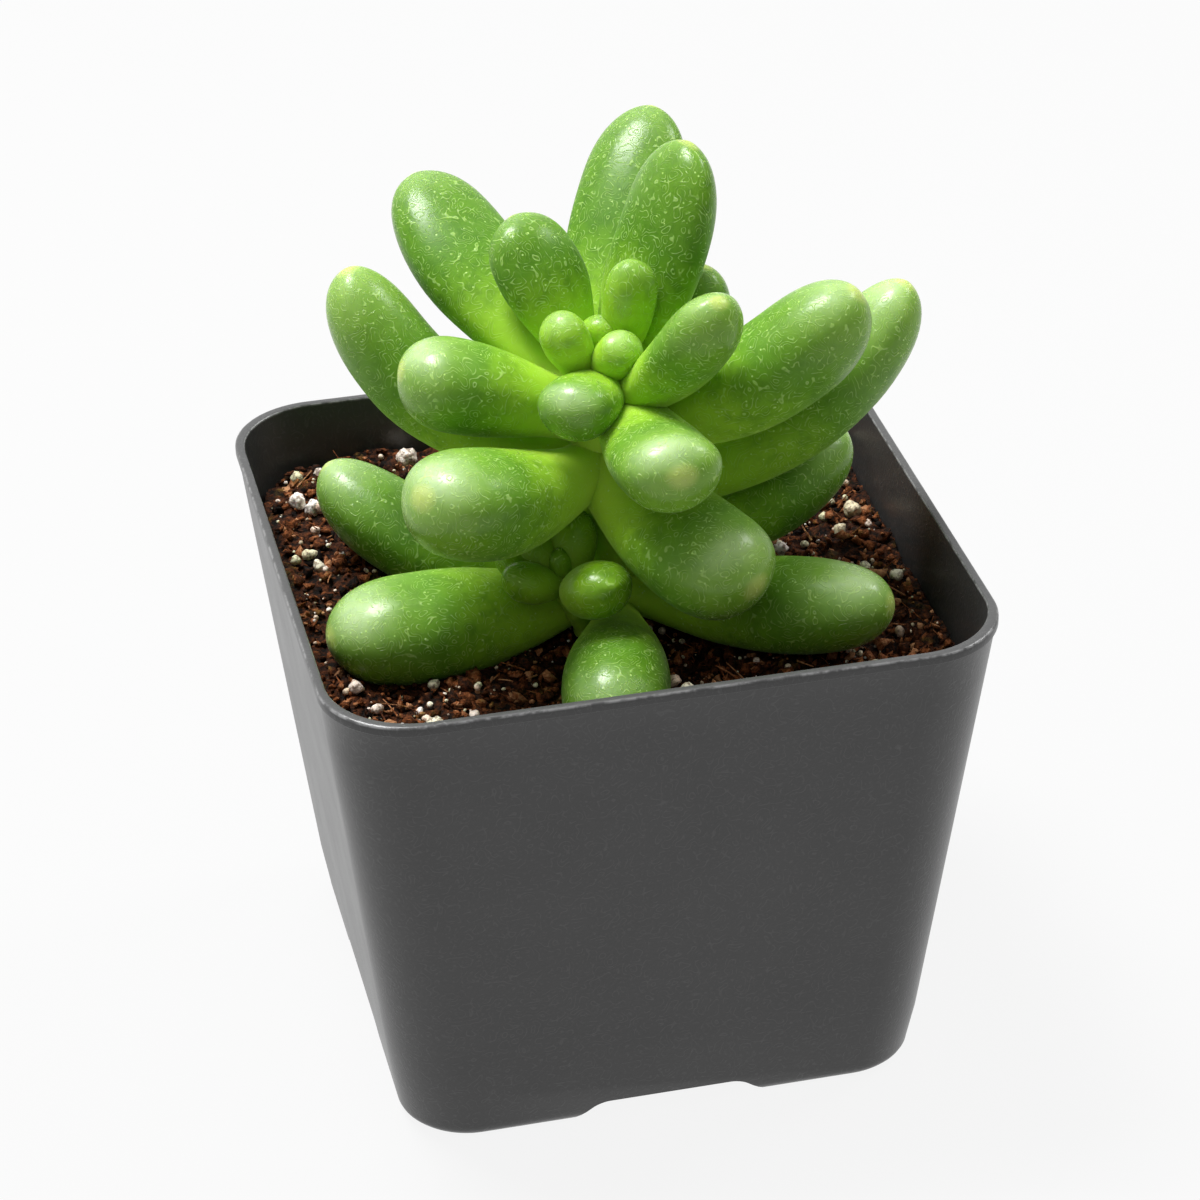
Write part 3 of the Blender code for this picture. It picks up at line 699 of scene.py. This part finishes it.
def plastic_finish():
    """Black plastic with grey swirls and dust, painted light on the lip's top face, and a paler broken
    line along the lip's edge, a painted highlight.
    """
    plastic = Finish("black_plastic")
    cloud = plastic.noise(PLASTIC_CLOUD_SIZE, 3.0, 0.6)
    grain = plastic.noise(GRAIN_SIZE, 2.0, 0.6)
    swirl = plastic.threads(SWIRL_SIZE, 5.0, 0.12)
    height = plastic.add("ShaderNodeSeparateXYZ", {0: plastic.place}, "Z")
    tone = plastic.ramp(cloud, (0.3, grey(0.026)), (0.7, grey(0.032)))
    tone = plastic.mix(plastic.times(swirl, 0.11), tone, grey(0.16))
    tone = plastic.mix(plastic.blend_range(grain, 0.55, 0.75, 0.0, 0.10), tone, grey(0.16))
    # Painted light: the lip's top face is painted paler, as if lit from above.
    rim = plastic.blend_range(height, LIP_TOP_LIGHT_FROM, POT_HEIGHT)
    tone = plastic.mix(plastic.times(rim, 0.35), tone, grey(0.12))
    # Painted highlight: a paler line along the lip's rounded outer edge, broken up by noise.
    edge = plastic.blend_range(height, EDGE_HIGHLIGHT_FROM, EDGE_HIGHLIGHT_FULL)
    edge = plastic.times(edge, plastic.math("SUBTRACT", 1.0, rim))
    highlight_breaks = plastic.blend_range(plastic.noise(EDGE_HIGHLIGHT_BREAK_SIZE, 3.0, 0.7), 0.38, 0.62, 0.25, 1.0)
    edge = plastic.times(edge, highlight_breaks)
    tone = plastic.mix(plastic.times(edge, 0.8), tone, grey(0.26))
    plastic.feed("Base Color", tone)
    plastic.feed("Roughness", plastic.plus(plastic.times(cloud, 0.12), 0.26))
    relief = plastic.plus(plastic.times(swirl, 0.3), grain)
    plastic.feed("Normal", plastic.bump(relief, PLASTIC_RELIEF))
    plastic.feed("IOR", 1.5)
    return plastic.material


black_plastic = plastic_finish()
print("Plastic finish:", black_plastic.name)

# %% Raise the walls
def outer_half(z):
    """Half the pot's width at a height, on the wall's outside."""
    return POT_FOOT_HALF + (POT_TOP_HALF - LIP_STEP - POT_FOOT_HALF) * z / POT_HEIGHT


def spread(verts, half, z):
    """Scales a ring about the pot's middle to a half width, and sets its height."""
    widest = max(abs(vert.co.x) for vert in verts)
    for vert in verts:
        vert.co = Vector((vert.co.x * half / widest, vert.co.y * half / widest, z))


def extrude_face(bm, cap):
    """Extrudes the open end's face, and gives the new face."""
    made = bmesh.ops.extrude_face_region(bm, geom=[cap])
    bmesh.ops.delete(bm, geom=[cap], context="FACES_ONLY")
    return next(item for item in made["geom"] if isinstance(item, bmesh.types.BMFace))


def extrude_ring(bm, cap, half, z):
    """Extrudes the open end's face to its own width and height."""
    cap = extrude_face(bm, cap)
    spread(cap.verts, half, z)
    return cap


def rounded_cap(bm, half, corner, z):
    """One square face with beveled corners."""
    bmesh.ops.create_grid(bm, x_segments=1, y_segments=1, size=half)
    bmesh.ops.bevel(
        bm, geom=bm.verts[:], offset=corner, offset_type="OFFSET", segments=CORNER_SEGMENTS,
        profile=0.5, affect="VERTICES", material=-1,
    )
    cap = next(iter(bm.faces))
    for vert in bm.verts:
        vert.co.z = z
    return cap


def copy_as_base(bm, cap):
    """Leaves a copy of the cap behind, turned down, so that the extruded body is closed."""
    twin = bmesh.ops.duplicate(bm, geom=[cap])["geom"]
    face = next(item for item in twin if isinstance(item, bmesh.types.BMFace))
    face.normal_flip()


def pot_shell():
    """Foot edge, wall, lip and inside, all extruded from one face in a single pass."""
    bm = bmesh.new()
    half = POT_FOOT_HALF
    cap = rounded_cap(bm, half - FOOT_EDGE, FOOT_CORNER - FOOT_EDGE, 0.0)
    copy_as_base(bm, cap)
    for step in range(1, FOOT_EDGE_STEPS + 1):
        angle = math.radians(90 * step / FOOT_EDGE_STEPS)
        inset = FOOT_EDGE * (1 - math.sin(angle))
        cap = extrude_ring(bm, cap, half - inset, FOOT_EDGE * (1 - math.cos(angle)))
    lip_foot = POT_HEIGHT - LIP_HEIGHT
    for step in range(1, WALL_RINGS + 1):
        z = FOOT_EDGE + (lip_foot - FOOT_EDGE) * step / WALL_RINGS
        cap = extrude_ring(bm, cap, outer_half(z), z)
    top = POT_TOP_HALF
    lip = [(top - LIP_STEP * LIP_FOOT_SHARE, lip_foot + LIP_FOOT_RISE), (top, lip_foot + LIP_STEP)]
    for step in range(LIP_ROUND_STEPS + 1):
        angle = math.radians(90 * step / LIP_ROUND_STEPS)
        inset = LIP_ROUND * (1 - math.cos(angle))
        lip.append((top - inset, POT_HEIGHT - LIP_ROUND * (1 - math.sin(angle))))
    lip.append((top - LIP_THICK + LIP_INNER_EDGE, POT_HEIGHT))
    lip.append((top - LIP_THICK, POT_HEIGHT - LIP_INNER_EDGE))
    for width, z in lip:
        cap = extrude_ring(bm, cap, width, z)
    for step in range(WALL_RINGS - 1, -1, -1):
        z = FLOOR + CHANNEL_HEIGHT + (lip_foot - FLOOR - CHANNEL_HEIGHT) * step / WALL_RINGS
        cap = extrude_ring(bm, cap, outer_half(z) - WALL, z)
    bmesh.ops.remove_doubles(bm, verts=bm.verts, dist=WELD)
    bmesh.ops.recalc_face_normals(bm, faces=bm.faces)
    return bm


# %% Cut the drain channels and holes
def channel_cutter(along_x):
    """A long bar with sloping sides and rounded upper edges."""
    bm = bmesh.new()
    bmesh.ops.create_cube(bm, size=1.0)
    slope = (CHANNEL_FOOT_WIDTH - CHANNEL_TOP_WIDTH) / CHANNEL_HEIGHT
    for vert in bm.verts:
        z = CHANNEL_HEIGHT if vert.co.z > 0 else -CHANNEL_HEIGHT
        width = CHANNEL_FOOT_WIDTH - slope * z
        vert.co = Vector((vert.co.x * CHANNEL_LENGTH, vert.co.y * width, z))
    upper = [
        edge for edge in bm.edges
        if all(vert.co.z > 0 for vert in edge.verts)
        and abs(edge.verts[0].co.x - edge.verts[1].co.x) > POT_TOP_HALF
    ]
    bmesh.ops.bevel(
        bm, geom=upper, offset=CHANNEL_ROUND, offset_type="OFFSET", segments=CHANNEL_ROUND_STEPS,
        profile=0.5, affect="EDGES", material=-1,
    )
    if not along_x:
        bmesh.ops.rotate(bm, verts=bm.verts, matrix=Matrix.Rotation(math.pi / 2, 3, "Z"))
    return bm


def drain_cutter(x, y):
    bm = bmesh.new()
    bmesh.ops.create_cone(
        bm, cap_ends=True, segments=DRAIN_SIDES, radius1=DRAIN_RADIUS, radius2=DRAIN_RADIUS,
        depth=DRAIN_DEPTH,
    )
    bmesh.ops.translate(bm, verts=bm.verts, vec=(x, y, CHANNEL_HEIGHT))
    return bm


def apply_modifiers(piece):
    graph = bpy.context.evaluated_depsgraph_get()
    graph.update()
    finished = bpy.data.meshes.new_from_object(piece.evaluated_get(graph))
    piece.modifiers.clear()
    piece.data = finished


def cut(piece, cutters):
    """Cuts the edit meshes out of a piece, one after the other, and keeps the result."""
    for number, bm in enumerate(cutters):
        mesh = bpy.data.meshes.new(f"cutter_{number}")
        bm.to_mesh(mesh)
        bm.free()
        cutter = bpy.data.objects.new(f"cutter_{number}", mesh)
        scene.collection.objects.link(cutter)
        modifier = piece.modifiers.new("cut", "BOOLEAN")
        modifier.operation = "DIFFERENCE"
        modifier.solver = "EXACT"
        modifier.object = cutter
        apply_modifiers(piece)
        bpy.data.objects.remove(cutter)


pot = new_piece("pot_moulded", pot_shell(), black_plastic, ["pot"])
drains = [(0, 0), (1, 0), (-1, 0), (0, 1), (0, -1)]
cutters = [channel_cutter(True), channel_cutter(False)]
cutters += [drain_cutter(x * DRAIN_REACH, y * DRAIN_REACH) for x, y in drains]
cut(pot, cutters)
bevel = pot.modifiers.new("soft_edges", "BEVEL")
bevel.width = SOFT_EDGE
bevel.segments = SOFT_EDGE_STEPS
bevel.limit_method = "ANGLE"
bevel.angle_limit = SOFT_EDGE_ANGLE
apply_modifiers(pot)
pot.data.shade_smooth()
print("Pot faces:", len(pot.data.polygons))

# %% [markdown]
# The soil
# The mix is coir and peat with perlite. Seen close, it is a heap of dark red-brown crumbs with black
# gaps, short fibres that stick out, and pale grains of several sizes. A flat plane with a picture of
# soil would give itself away at the edges of the leaves. So the surface is a fine grid pushed up and
# down by noise, with a low heap at the back left. Crumbs, fibres and three sizes of perlite are strewn
# over it, each body with its own shade.

# %% Mix the soil colours
SPECKLE_SIZE = 0.55 * MM
MOSS_SIZE = 2.6 * MM
SOIL_RELIEF = 0.5 * MM
PIT_SIZE = 0.45 * MM
PIT_RELIEF = 0.2 * MM
PERLITE_REACH = 0.5 * MM


def soil_finish():
    """Soil: each crumb carries a shade from 0, near black, to 1, pale tan."""
    soil = Finish("coir_mix")
    shade = soil.attribute("shade")
    speckle = soil.noise(SPECKLE_SIZE, 4.0, 0.7)
    shade = soil.plus(shade, soil.times(soil.math("SUBTRACT", speckle, 0.5), 1.5))
    brown = soil.ramp(
        shade,
        (0.08, colour(0.004, 0.002, 0.001)),
        (0.38, colour(0.070, 0.020, 0.006)),
        (0.64, colour(0.260, 0.080, 0.024)),
        (1.0, colour(0.540, 0.270, 0.130)),
    )
    moss = soil.blend_range(soil.noise(MOSS_SIZE, 3.0, 0.6), 0.58, 0.68, 0.0, 0.45)
    brown = soil.mix(soil.times(moss, shade), brown, colour(0.200, 0.190, 0.030))
    soil.feed("Base Color", brown)
    soil.feed("Roughness", soil.plus(soil.times(speckle, 0.3), 0.55))
    soil.feed("Normal", soil.bump(speckle, SOIL_RELIEF))
    soil.feed("Specular IOR Level", 0.12)
    return soil.material


def perlite_finish():
    """Perlite: off-white, some grains stained green or rosy."""
    perlite = Finish("perlite")
    shade = perlite.attribute("shade")
    pits = perlite.noise(PIT_SIZE, 3.0, 0.6)
    tint = perlite.ramp(
        shade,
        (0.0, colour(0.84, 0.79, 0.62)),
        (0.3, colour(0.70, 0.69, 0.43)),
        (0.6, colour(0.78, 0.58, 0.44)),
        (1.0, colour(0.92, 0.90, 0.84)),
    )
    dirty = perlite.blend_range(pits, 0.46, 0.62, 0.0, 0.80)
    perlite.feed("Base Color", perlite.mix(dirty, tint, colour(0.16, 0.10, 0.06)))
    perlite.feed("Roughness", perlite.plus(pits, 0.15))
    perlite.feed("Normal", perlite.bump(pits, PIT_RELIEF))
    perlite.feed("Subsurface Weight", 0.15)
    perlite.feed("Subsurface Radius", (1.0, 0.8, 0.6))
    perlite.feed("Subsurface Scale", PERLITE_REACH)
    return perlite.material


coir_mix = soil_finish()
white_perlite = perlite_finish()
print("Soil finishes:", coir_mix.name, white_perlite.name)

# %% Lay the soil's surface
SOIL_LEVEL = 45.0 * MM
SOIL_SLOPE = 0.025
SOIL_LUMP = 0.9 * MM
SOIL_LUMP_SIZE = 5.0 * MM
FINE_LUMP_SIZE = 2.2 * MM
FINE_LUMP_SHARE = 0.5
CRUMBLE = 0.35 * MM
CRUMBLE_SIZE = 0.9 * MM
CRUMBLE_DROP = 0.6
FINE_CRUMBLE_TIMES = 2.3
FINE_CRUMBLE_SHARE = 0.6
SURFACE_SHADE = 0.20
PAINTED_HOLLOW_SHADE_RANGE = 0.30
SOIL_CELLS = 190
HEAP = 1.1 * MM
HEAP_PLACE = (-15.0 * MM, 21.0 * MM)
HEAP_WIDTH = 9.0 * MM
SOIL_FOOT = FLOOR + CHANNEL_HEIGHT + GAP
TOP_CORNER = 9.7 * MM


def soil_height(x, y):
    """The soil's surface: a gentle slope down to the front, with lumps and one low heap."""
    spot = Vector((x, y, 0))
    lump = noise.noise(spot / SOIL_LUMP_SIZE)
    lump += FINE_LUMP_SHARE * noise.noise(spot / FINE_LUMP_SIZE)
    away = math.hypot(x - HEAP_PLACE[0], y - HEAP_PLACE[1]) / HEAP_WIDTH
    return SOIL_LEVEL + SOIL_SLOPE * y + SOIL_LUMP * lump + HEAP * math.exp(-away ** 2)


def into_rounded_square(x, y, half, corner):
    """Draws a point of a square in, so that the square's edge becomes one with round corners."""
    longest = max(abs(x), abs(y), TINY)
    unit_x, unit_y = abs(x) / longest, abs(y) / longest
    middle = half - corner
    reach = half
    if min(unit_x, unit_y) * half > middle:
        dot = (unit_x + unit_y) * middle
        square = unit_x ** 2 + unit_y ** 2
        reach = (dot + math.sqrt(dot ** 2 - square * (2 * middle ** 2 - corner ** 2))) / square
    return x * reach / half, y * reach / half


def soil_body():
    """A fine crumbly top, skirts down the inside of the walls, and one flat face below."""
    bm = bmesh.new()
    shade = bm.verts.layers.float.new("shade")
    half = outer_half(SOIL_LEVEL) - WALL - GAP
    corner = TOP_CORNER - WALL - GAP
    bmesh.ops.create_grid(bm, x_segments=SOIL_CELLS, y_segments=SOIL_CELLS, size=half)
    for vert in bm.verts:
        x, y = into_rounded_square(vert.co.x, vert.co.y, half, corner)
        spot = Vector((x, y, 0))
        crumble = noise.noise(spot / CRUMBLE_SIZE)
        crumble += FINE_CRUMBLE_SHARE * noise.noise(spot / CRUMBLE_SIZE * FINE_CRUMBLE_TIMES)
        vert.co = Vector((x, y, soil_height(x, y) + CRUMBLE * (crumble - CRUMBLE_DROP)))
        # Painted shade: the surface is darker where it lies lower, in the hollows between its lumps.
        vert[shade] = SURFACE_SHADE + PAINTED_HOLLOW_SHADE_RANGE * crumble
    rim = [edge for edge in bm.edges if edge.is_boundary]
    made = bmesh.ops.extrude_edge_only(bm, edges=rim)
    low = [item for item in made["geom"] if isinstance(item, bmesh.types.BMVert)]
    draw_in = (outer_half(SOIL_FOOT) - WALL - GAP) / half
    for vert in low:
        vert.co = Vector((vert.co.x * draw_in, vert.co.y * draw_in, SOIL_FOOT))
    bottom = [edge for edge in bm.edges if edge.is_boundary]
    bmesh.ops.contextual_create(bm, geom=bottom)
    bmesh.ops.recalc_face_normals(bm, faces=bm.faces)
    return bm


soil = new_piece("soil_surface", soil_body(), coir_mix, ["soil"])
print("Soil faces:", len(soil.data.polygons))

# %% Find the free places on the soil
RANDOM_SEED = 11
plant = bmesh.new()
for piece in leaf_pieces + heart_pieces + offset_pieces + [stem, offset_stem]:
    plant.from_mesh(piece.data)
plant_tree = BVHTree.FromBMesh(plant)
print("Plant faces to keep clear of:", len(plant.faces))
plant.free()
random.seed(RANDOM_SEED)


def clear_of_plant(point, radius):
    """True where a ball of that radius doesn't lie in a leaf or a stem."""
    spot, normal, _, distance = plant_tree.find_nearest(point)
    inside = (point - spot).dot(normal) < 0
    return distance > radius and not inside


def soil_spot(edge):
    """A random place inside the pot's wall, an edge's width away from it."""
    half = outer_half(SOIL_LEVEL) - WALL - edge
    x = random.uniform(-half, half)
    y = random.uniform(-half, half)
    return into_rounded_square(x, y, half, TOP_CORNER - WALL - edge)


# %% Strew small bodies in batches
BATCH = 60


def strewn(count, add_one):
    """Makes many small bodies a batch at a time, because operators slow down as their mesh grows."""
    whole = bmesh.new()
    whole.verts.layers.float.new("shade")
    scratch = bpy.data.meshes.new("batch")
    for first in range(0, count, BATCH):
        some = bmesh.new()
        shade = some.verts.layers.float.new("shade")
        for _ in range(min(BATCH, count - first)):
            add_one(some, shade)
        some.to_mesh(scratch)
        some.free()
        whole.from_mesh(scratch)
    bpy.data.meshes.remove(scratch)
    return whole


# %% Strew the crumbs
CRUMB_COUNT = 4200
CRUMB_SIZES = (0.20 * MM, 0.80 * MM)
CRUMB_RISES = (-0.3, 0.5)
CRUMB_SHADES = (0.46, 0.26)
CRUMB_EDGE = 0.4 * MM
CRUMB_CLEAR = 0.7
CRUMB_JAGS = 1.8
CRUMB_JAG_SIZE = 0.45 * MM


def jagged(verts, centre, amount, size):
    """Pushes the points of a small body in and out from its middle."""
    for vert in verts:
        vert.co += (vert.co - centre) * amount * noise.noise(vert.co / size)


def any_turn():
    axis = direction(random.uniform(0, 360), random.uniform(-90, 90))
    return Matrix.Rotation(random.uniform(0, 2 * math.pi), 4, axis)


def add_crumb(bm, shade):
    radius = CRUMB_SIZES[0] + (CRUMB_SIZES[1] - CRUMB_SIZES[0]) * random.random() ** 2
    x, y = soil_spot(CRUMB_EDGE + radius)
    centre = Vector((x, y, soil_height(x, y) + random.uniform(*CRUMB_RISES) * radius))
    tone = random.gauss(*CRUMB_SHADES)
    stretch = Matrix.Diagonal((1.0, random.uniform(0.5, 1.0), random.uniform(0.5, 0.9), 1.0))
    place = Matrix.Translation(centre) @ any_turn() @ stretch
    if not clear_of_plant(centre, radius * CRUMB_CLEAR):
        return
    made = bmesh.ops.create_icosphere(bm, subdivisions=1, radius=radius, matrix=place)
    jagged(made["verts"], centre, CRUMB_JAGS, CRUMB_JAG_SIZE)
    for vert in made["verts"]:
        vert[shade] = tone


crumb_piece = new_piece("soil_crumbs", strewn(CRUMB_COUNT, add_crumb), coir_mix)
print("Crumb faces:", len(crumb_piece.data.polygons))

# %% Strew the fibres
FIBRE_COUNT = 620
FIBRE_RADII = (0.05 * MM, 0.13 * MM)
FIBRE_LENGTHS = (0.8 * MM, 3.4 * MM)
FIBRE_RISES = (-0.1, 0.4)
FIBRE_TILTS = (-15, 40)
FIBRE_BENDS = (0.0, 0.35)
FIBRE_BEND_TILTS = (-40, 20)
FIBRE_SHADES = (0.62, 0.18)
FIBRE_EDGE = 1.2 * MM
FIBRE_GAP = 0.4 * MM
FIBRE_MIDDLE_GAP = 0.6 * MM
FIBRE_STEPS = 4
FIBRE_THINNING = 0.86


def draw_fibre(bm, start, onward, bend, radius, length):
    """Extrudes a small square along a bent line, thinner at each step, and gives its points."""
    turned = onward.to_track_quat("Z", "Y").to_matrix().to_4x4()
    place = Matrix.Translation(start) @ turned
    made = bmesh.ops.create_circle(bm, cap_ends=False, segments=4, radius=radius, matrix=place)
    cap = bmesh.ops.contextual_create(bm, geom=made["verts"])["faces"][0]
    copy_as_base(bm, cap)
    own = list(made["verts"])
    centre = start
    for step in range(1, FIBRE_STEPS + 1):
        share = step / FIBRE_STEPS
        onto = start + onward * length * share + bend * length * share ** 2
        cap = extrude_face(bm, cap)
        for vert in cap.verts:
            vert.co = onto + (vert.co - centre) * FIBRE_THINNING
        own += list(cap.verts)
        centre = onto
    return own


def inside_wall(point, gap):
    """True where a point is at least a gap's width inside the wall, round corners included."""
    half = outer_half(SOIL_LEVEL) - WALL - gap
    corner = TOP_CORNER - WALL - gap
    past_x = max(0.0, abs(point.x) - half + corner)
    past_y = max(0.0, abs(point.y) - half + corner)
    return math.hypot(past_x, past_y) < corner


def add_fibre(bm, shade):
    radius = random.uniform(*FIBRE_RADII)
    length = random.uniform(*FIBRE_LENGTHS)
    x, y = soil_spot(FIBRE_EDGE)
    start = Vector((x, y, soil_height(x, y) + random.uniform(*FIBRE_RISES) * MM))
    onward = direction(random.uniform(0, 360), random.uniform(*FIBRE_TILTS))
    bend = direction(random.uniform(0, 360), random.uniform(*FIBRE_BEND_TILTS))
    bend = bend * random.uniform(*FIBRE_BENDS)
    tone = random.gauss(*FIBRE_SHADES)
    end = start + (onward + bend) * length
    if not (inside_wall(start, FIBRE_GAP) and inside_wall(end, FIBRE_GAP)):
        return
    middle = start.lerp(end, 0.5)
    if not (clear_of_plant(middle, FIBRE_MIDDLE_GAP) and clear_of_plant(end, FIBRE_GAP)):
        return
    for vert in draw_fibre(bm, start, onward, bend, radius, length):
        vert[shade] = tone


fibre_piece = new_piece("soil_fibres", strewn(FIBRE_COUNT, add_fibre), coir_mix)
print("Fibre faces:", len(fibre_piece.data.polygons))

# %% Strew the perlite
# Each row: the piece's name, how many grains, their least and greatest radius, how finely each ball
# is divided, and how far the grains keep from the wall.
PERLITE_SORTS = (
    ("perlite_lumps", 84, (0.66 * MM, 1.12 * MM), 3, 2.0 * MM),
    ("perlite_grains", 200, (0.28 * MM, 0.72 * MM), 2, 1.6 * MM),
    ("perlite_specks", 760, (0.07 * MM, 0.28 * MM), 1, 1.0 * MM),
)
PERLITE_SMALLNESS = 1.4
PERLITE_RISE_SHARE = 0.35
PERLITE_RISE = 0.15 * MM
PERLITE_JAGS = 0.40
PERLITE_JAG_SIZE = 0.55 * MM


def add_perlite(sizes, detail, edge):
    """Gives a function that adds one grain of perlite."""
    def add_one(bm, shade):
        radius = sizes[0] + (sizes[1] - sizes[0]) * random.random() ** PERLITE_SMALLNESS
        x, y = soil_spot(edge)
        height = soil_height(x, y) + PERLITE_RISE_SHARE * radius + PERLITE_RISE
        centre = Vector((x, y, height))
        tone = random.random()
        stretch = Matrix.Diagonal((1.0, random.uniform(0.7, 1.0), random.uniform(0.7, 1.0), 1.0))
        place = Matrix.Translation(centre) @ any_turn() @ stretch
        if not clear_of_plant(centre, radius):
            return
        made = bmesh.ops.create_icosphere(bm, subdivisions=detail, radius=radius, matrix=place)
        jagged(made["verts"], centre, PERLITE_JAGS, PERLITE_JAG_SIZE)
        for vert in made["verts"]:
            vert[shade] = tone
    return add_one


perlite_faces = 0
for name, count, sizes, detail, edge in PERLITE_SORTS:
    grains = strewn(count, add_perlite(sizes, detail, edge))
    grain_piece = new_piece(name, grains, white_perlite)
    perlite_faces += len(grain_piece.data.polygons)
print("Perlite faces:", perlite_faces)

# %% [markdown]
# Light and floor
# The photograph was taken on white, under a large soft light above and behind the left shoulder of
# the plant, so the shadows are faint and the highlights soft. One square lamp makes the highlights,
# a weak one on the right opens the shadows there, and a white surrounding, brighter above and behind,
# makes the rest. The floor gives off most of its light itself, as a lit table does, which keeps it
# even and pale.

# %% Set the stage
FLOOR_HALF = 3.0
FLOOR_GREY = 0.80
FLOOR_WHITE = 0.936
FLOOR_GLOW_SHARE = 0.945


def floor_finish():
    """A dull pale floor, mixed with a glow of its own."""
    pale = Finish("pale_floor")
    pale.feed("Base Color", grey(FLOOR_GREY))
    pale.feed("Roughness", 1.0)
    pale.feed("Specular IOR Level", 0.0)
    glow = pale.add("ShaderNodeEmission", {"Color": grey(FLOOR_WHITE)})
    dull = pale.shader.outputs["BSDF"]
    blend = pale.add("ShaderNodeMixShader", {"Fac": FLOOR_GLOW_SHARE, 1: dull, 2: glow})
    pale.set(pale.tree.nodes["Material Output"].inputs["Surface"], blend)
    return pale.material


bm = bmesh.new()
bmesh.ops.create_grid(bm, x_segments=1, y_segments=1, size=FLOOR_HALF)
floor_mesh = bpy.data.meshes.new("floor")
bm.to_mesh(floor_mesh)
bm.free()
floor_mesh.materials.append(floor_finish())
floor = bpy.data.objects.new("floor", floor_mesh)
scene.collection.objects.link(floor)
floor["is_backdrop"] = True
print("Floor:", floor.name, "of", 2 * FLOOR_HALF, "m")

# %% Hang the lights
WORLD_WHITE = 0.94
ROOM_BRIGHT_SIDE = Vector((-0.20, 0.75, 0.63)).normalized()
ROOM_BRIGHT = 0.90
ROOM_DIM = 0.22
ROOM_DIM_FROM = -0.27
LAMP_AIM = Vector((0, 0, 45 * MM))
KEY_DIRECTION = Vector((-0.24, 0.26, 0.91)).normalized()
KEY_DISTANCE = 0.75
KEY_SIZE = 0.26
KEY_POWER = 8.0
FILL_DIRECTION = Vector((0.72, 0.20, 0.66)).normalized()
FILL_SIZE = 0.18
FILL_POWER = 1.5


def soft_lamp(name, toward, distance, size, power):
    """A square lamp that hangs in a direction from the plant and faces it."""
    data = bpy.data.lights.new(name, "AREA")
    data.shape = "SQUARE"
    data.size = size
    data.energy = power
    lamp = bpy.data.objects.new(name, data)
    lamp.location = LAMP_AIM + toward * distance
    lamp.rotation_euler = (-toward).to_track_quat("-Z", "Y").to_euler()
    scene.collection.objects.link(lamp)


soft_lamp("key_light", KEY_DIRECTION, KEY_DISTANCE, KEY_SIZE, KEY_POWER)
soft_lamp("fill_light", FILL_DIRECTION, KEY_DISTANCE, FILL_SIZE, FILL_POWER)
world = bpy.data.worlds.new("white_room")
world.use_nodes = True
room = Recipe(world.node_tree)
toward = room.add("ShaderNodeTexCoord", {}, "Generated")
values = {0: toward, 1: ROOM_BRIGHT_SIDE}
facing_light = room.add("ShaderNodeVectorMath", values, "Value", operation="DOT_PRODUCT")
values = {"Value": facing_light, "From Min": ROOM_DIM_FROM, "From Max": 1.0}
values.update({"To Min": ROOM_DIM, "To Max": ROOM_BRIGHT})
brightness = room.add("ShaderNodeMapRange", values)
seen = room.add("ShaderNodeLightPath", {}, "Is Camera Ray")
values = {"Value": seen, "To Min": brightness, "To Max": WORLD_WHITE}
background = world.node_tree.nodes["Background"]
room.set(background.inputs["Color"], grey(1.0))
room.set(background.inputs["Strength"], room.add("ShaderNodeMapRange", values))
scene.world = world
scene.view_settings.view_transform = "Standard"
scene.view_settings.look = "None"
print("Lamps:", len(bpy.data.lights), "and a room called", world.name)

# %% Measure the size of the finished scene
visual_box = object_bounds()
sizes = {"cad": [list(corner) for corner in cad_box], "visual": [list(corner) for corner in visual_box]}
print("Visual box in mm:", [[round(x / MM, 1) for x in corner] for corner in visual_box])
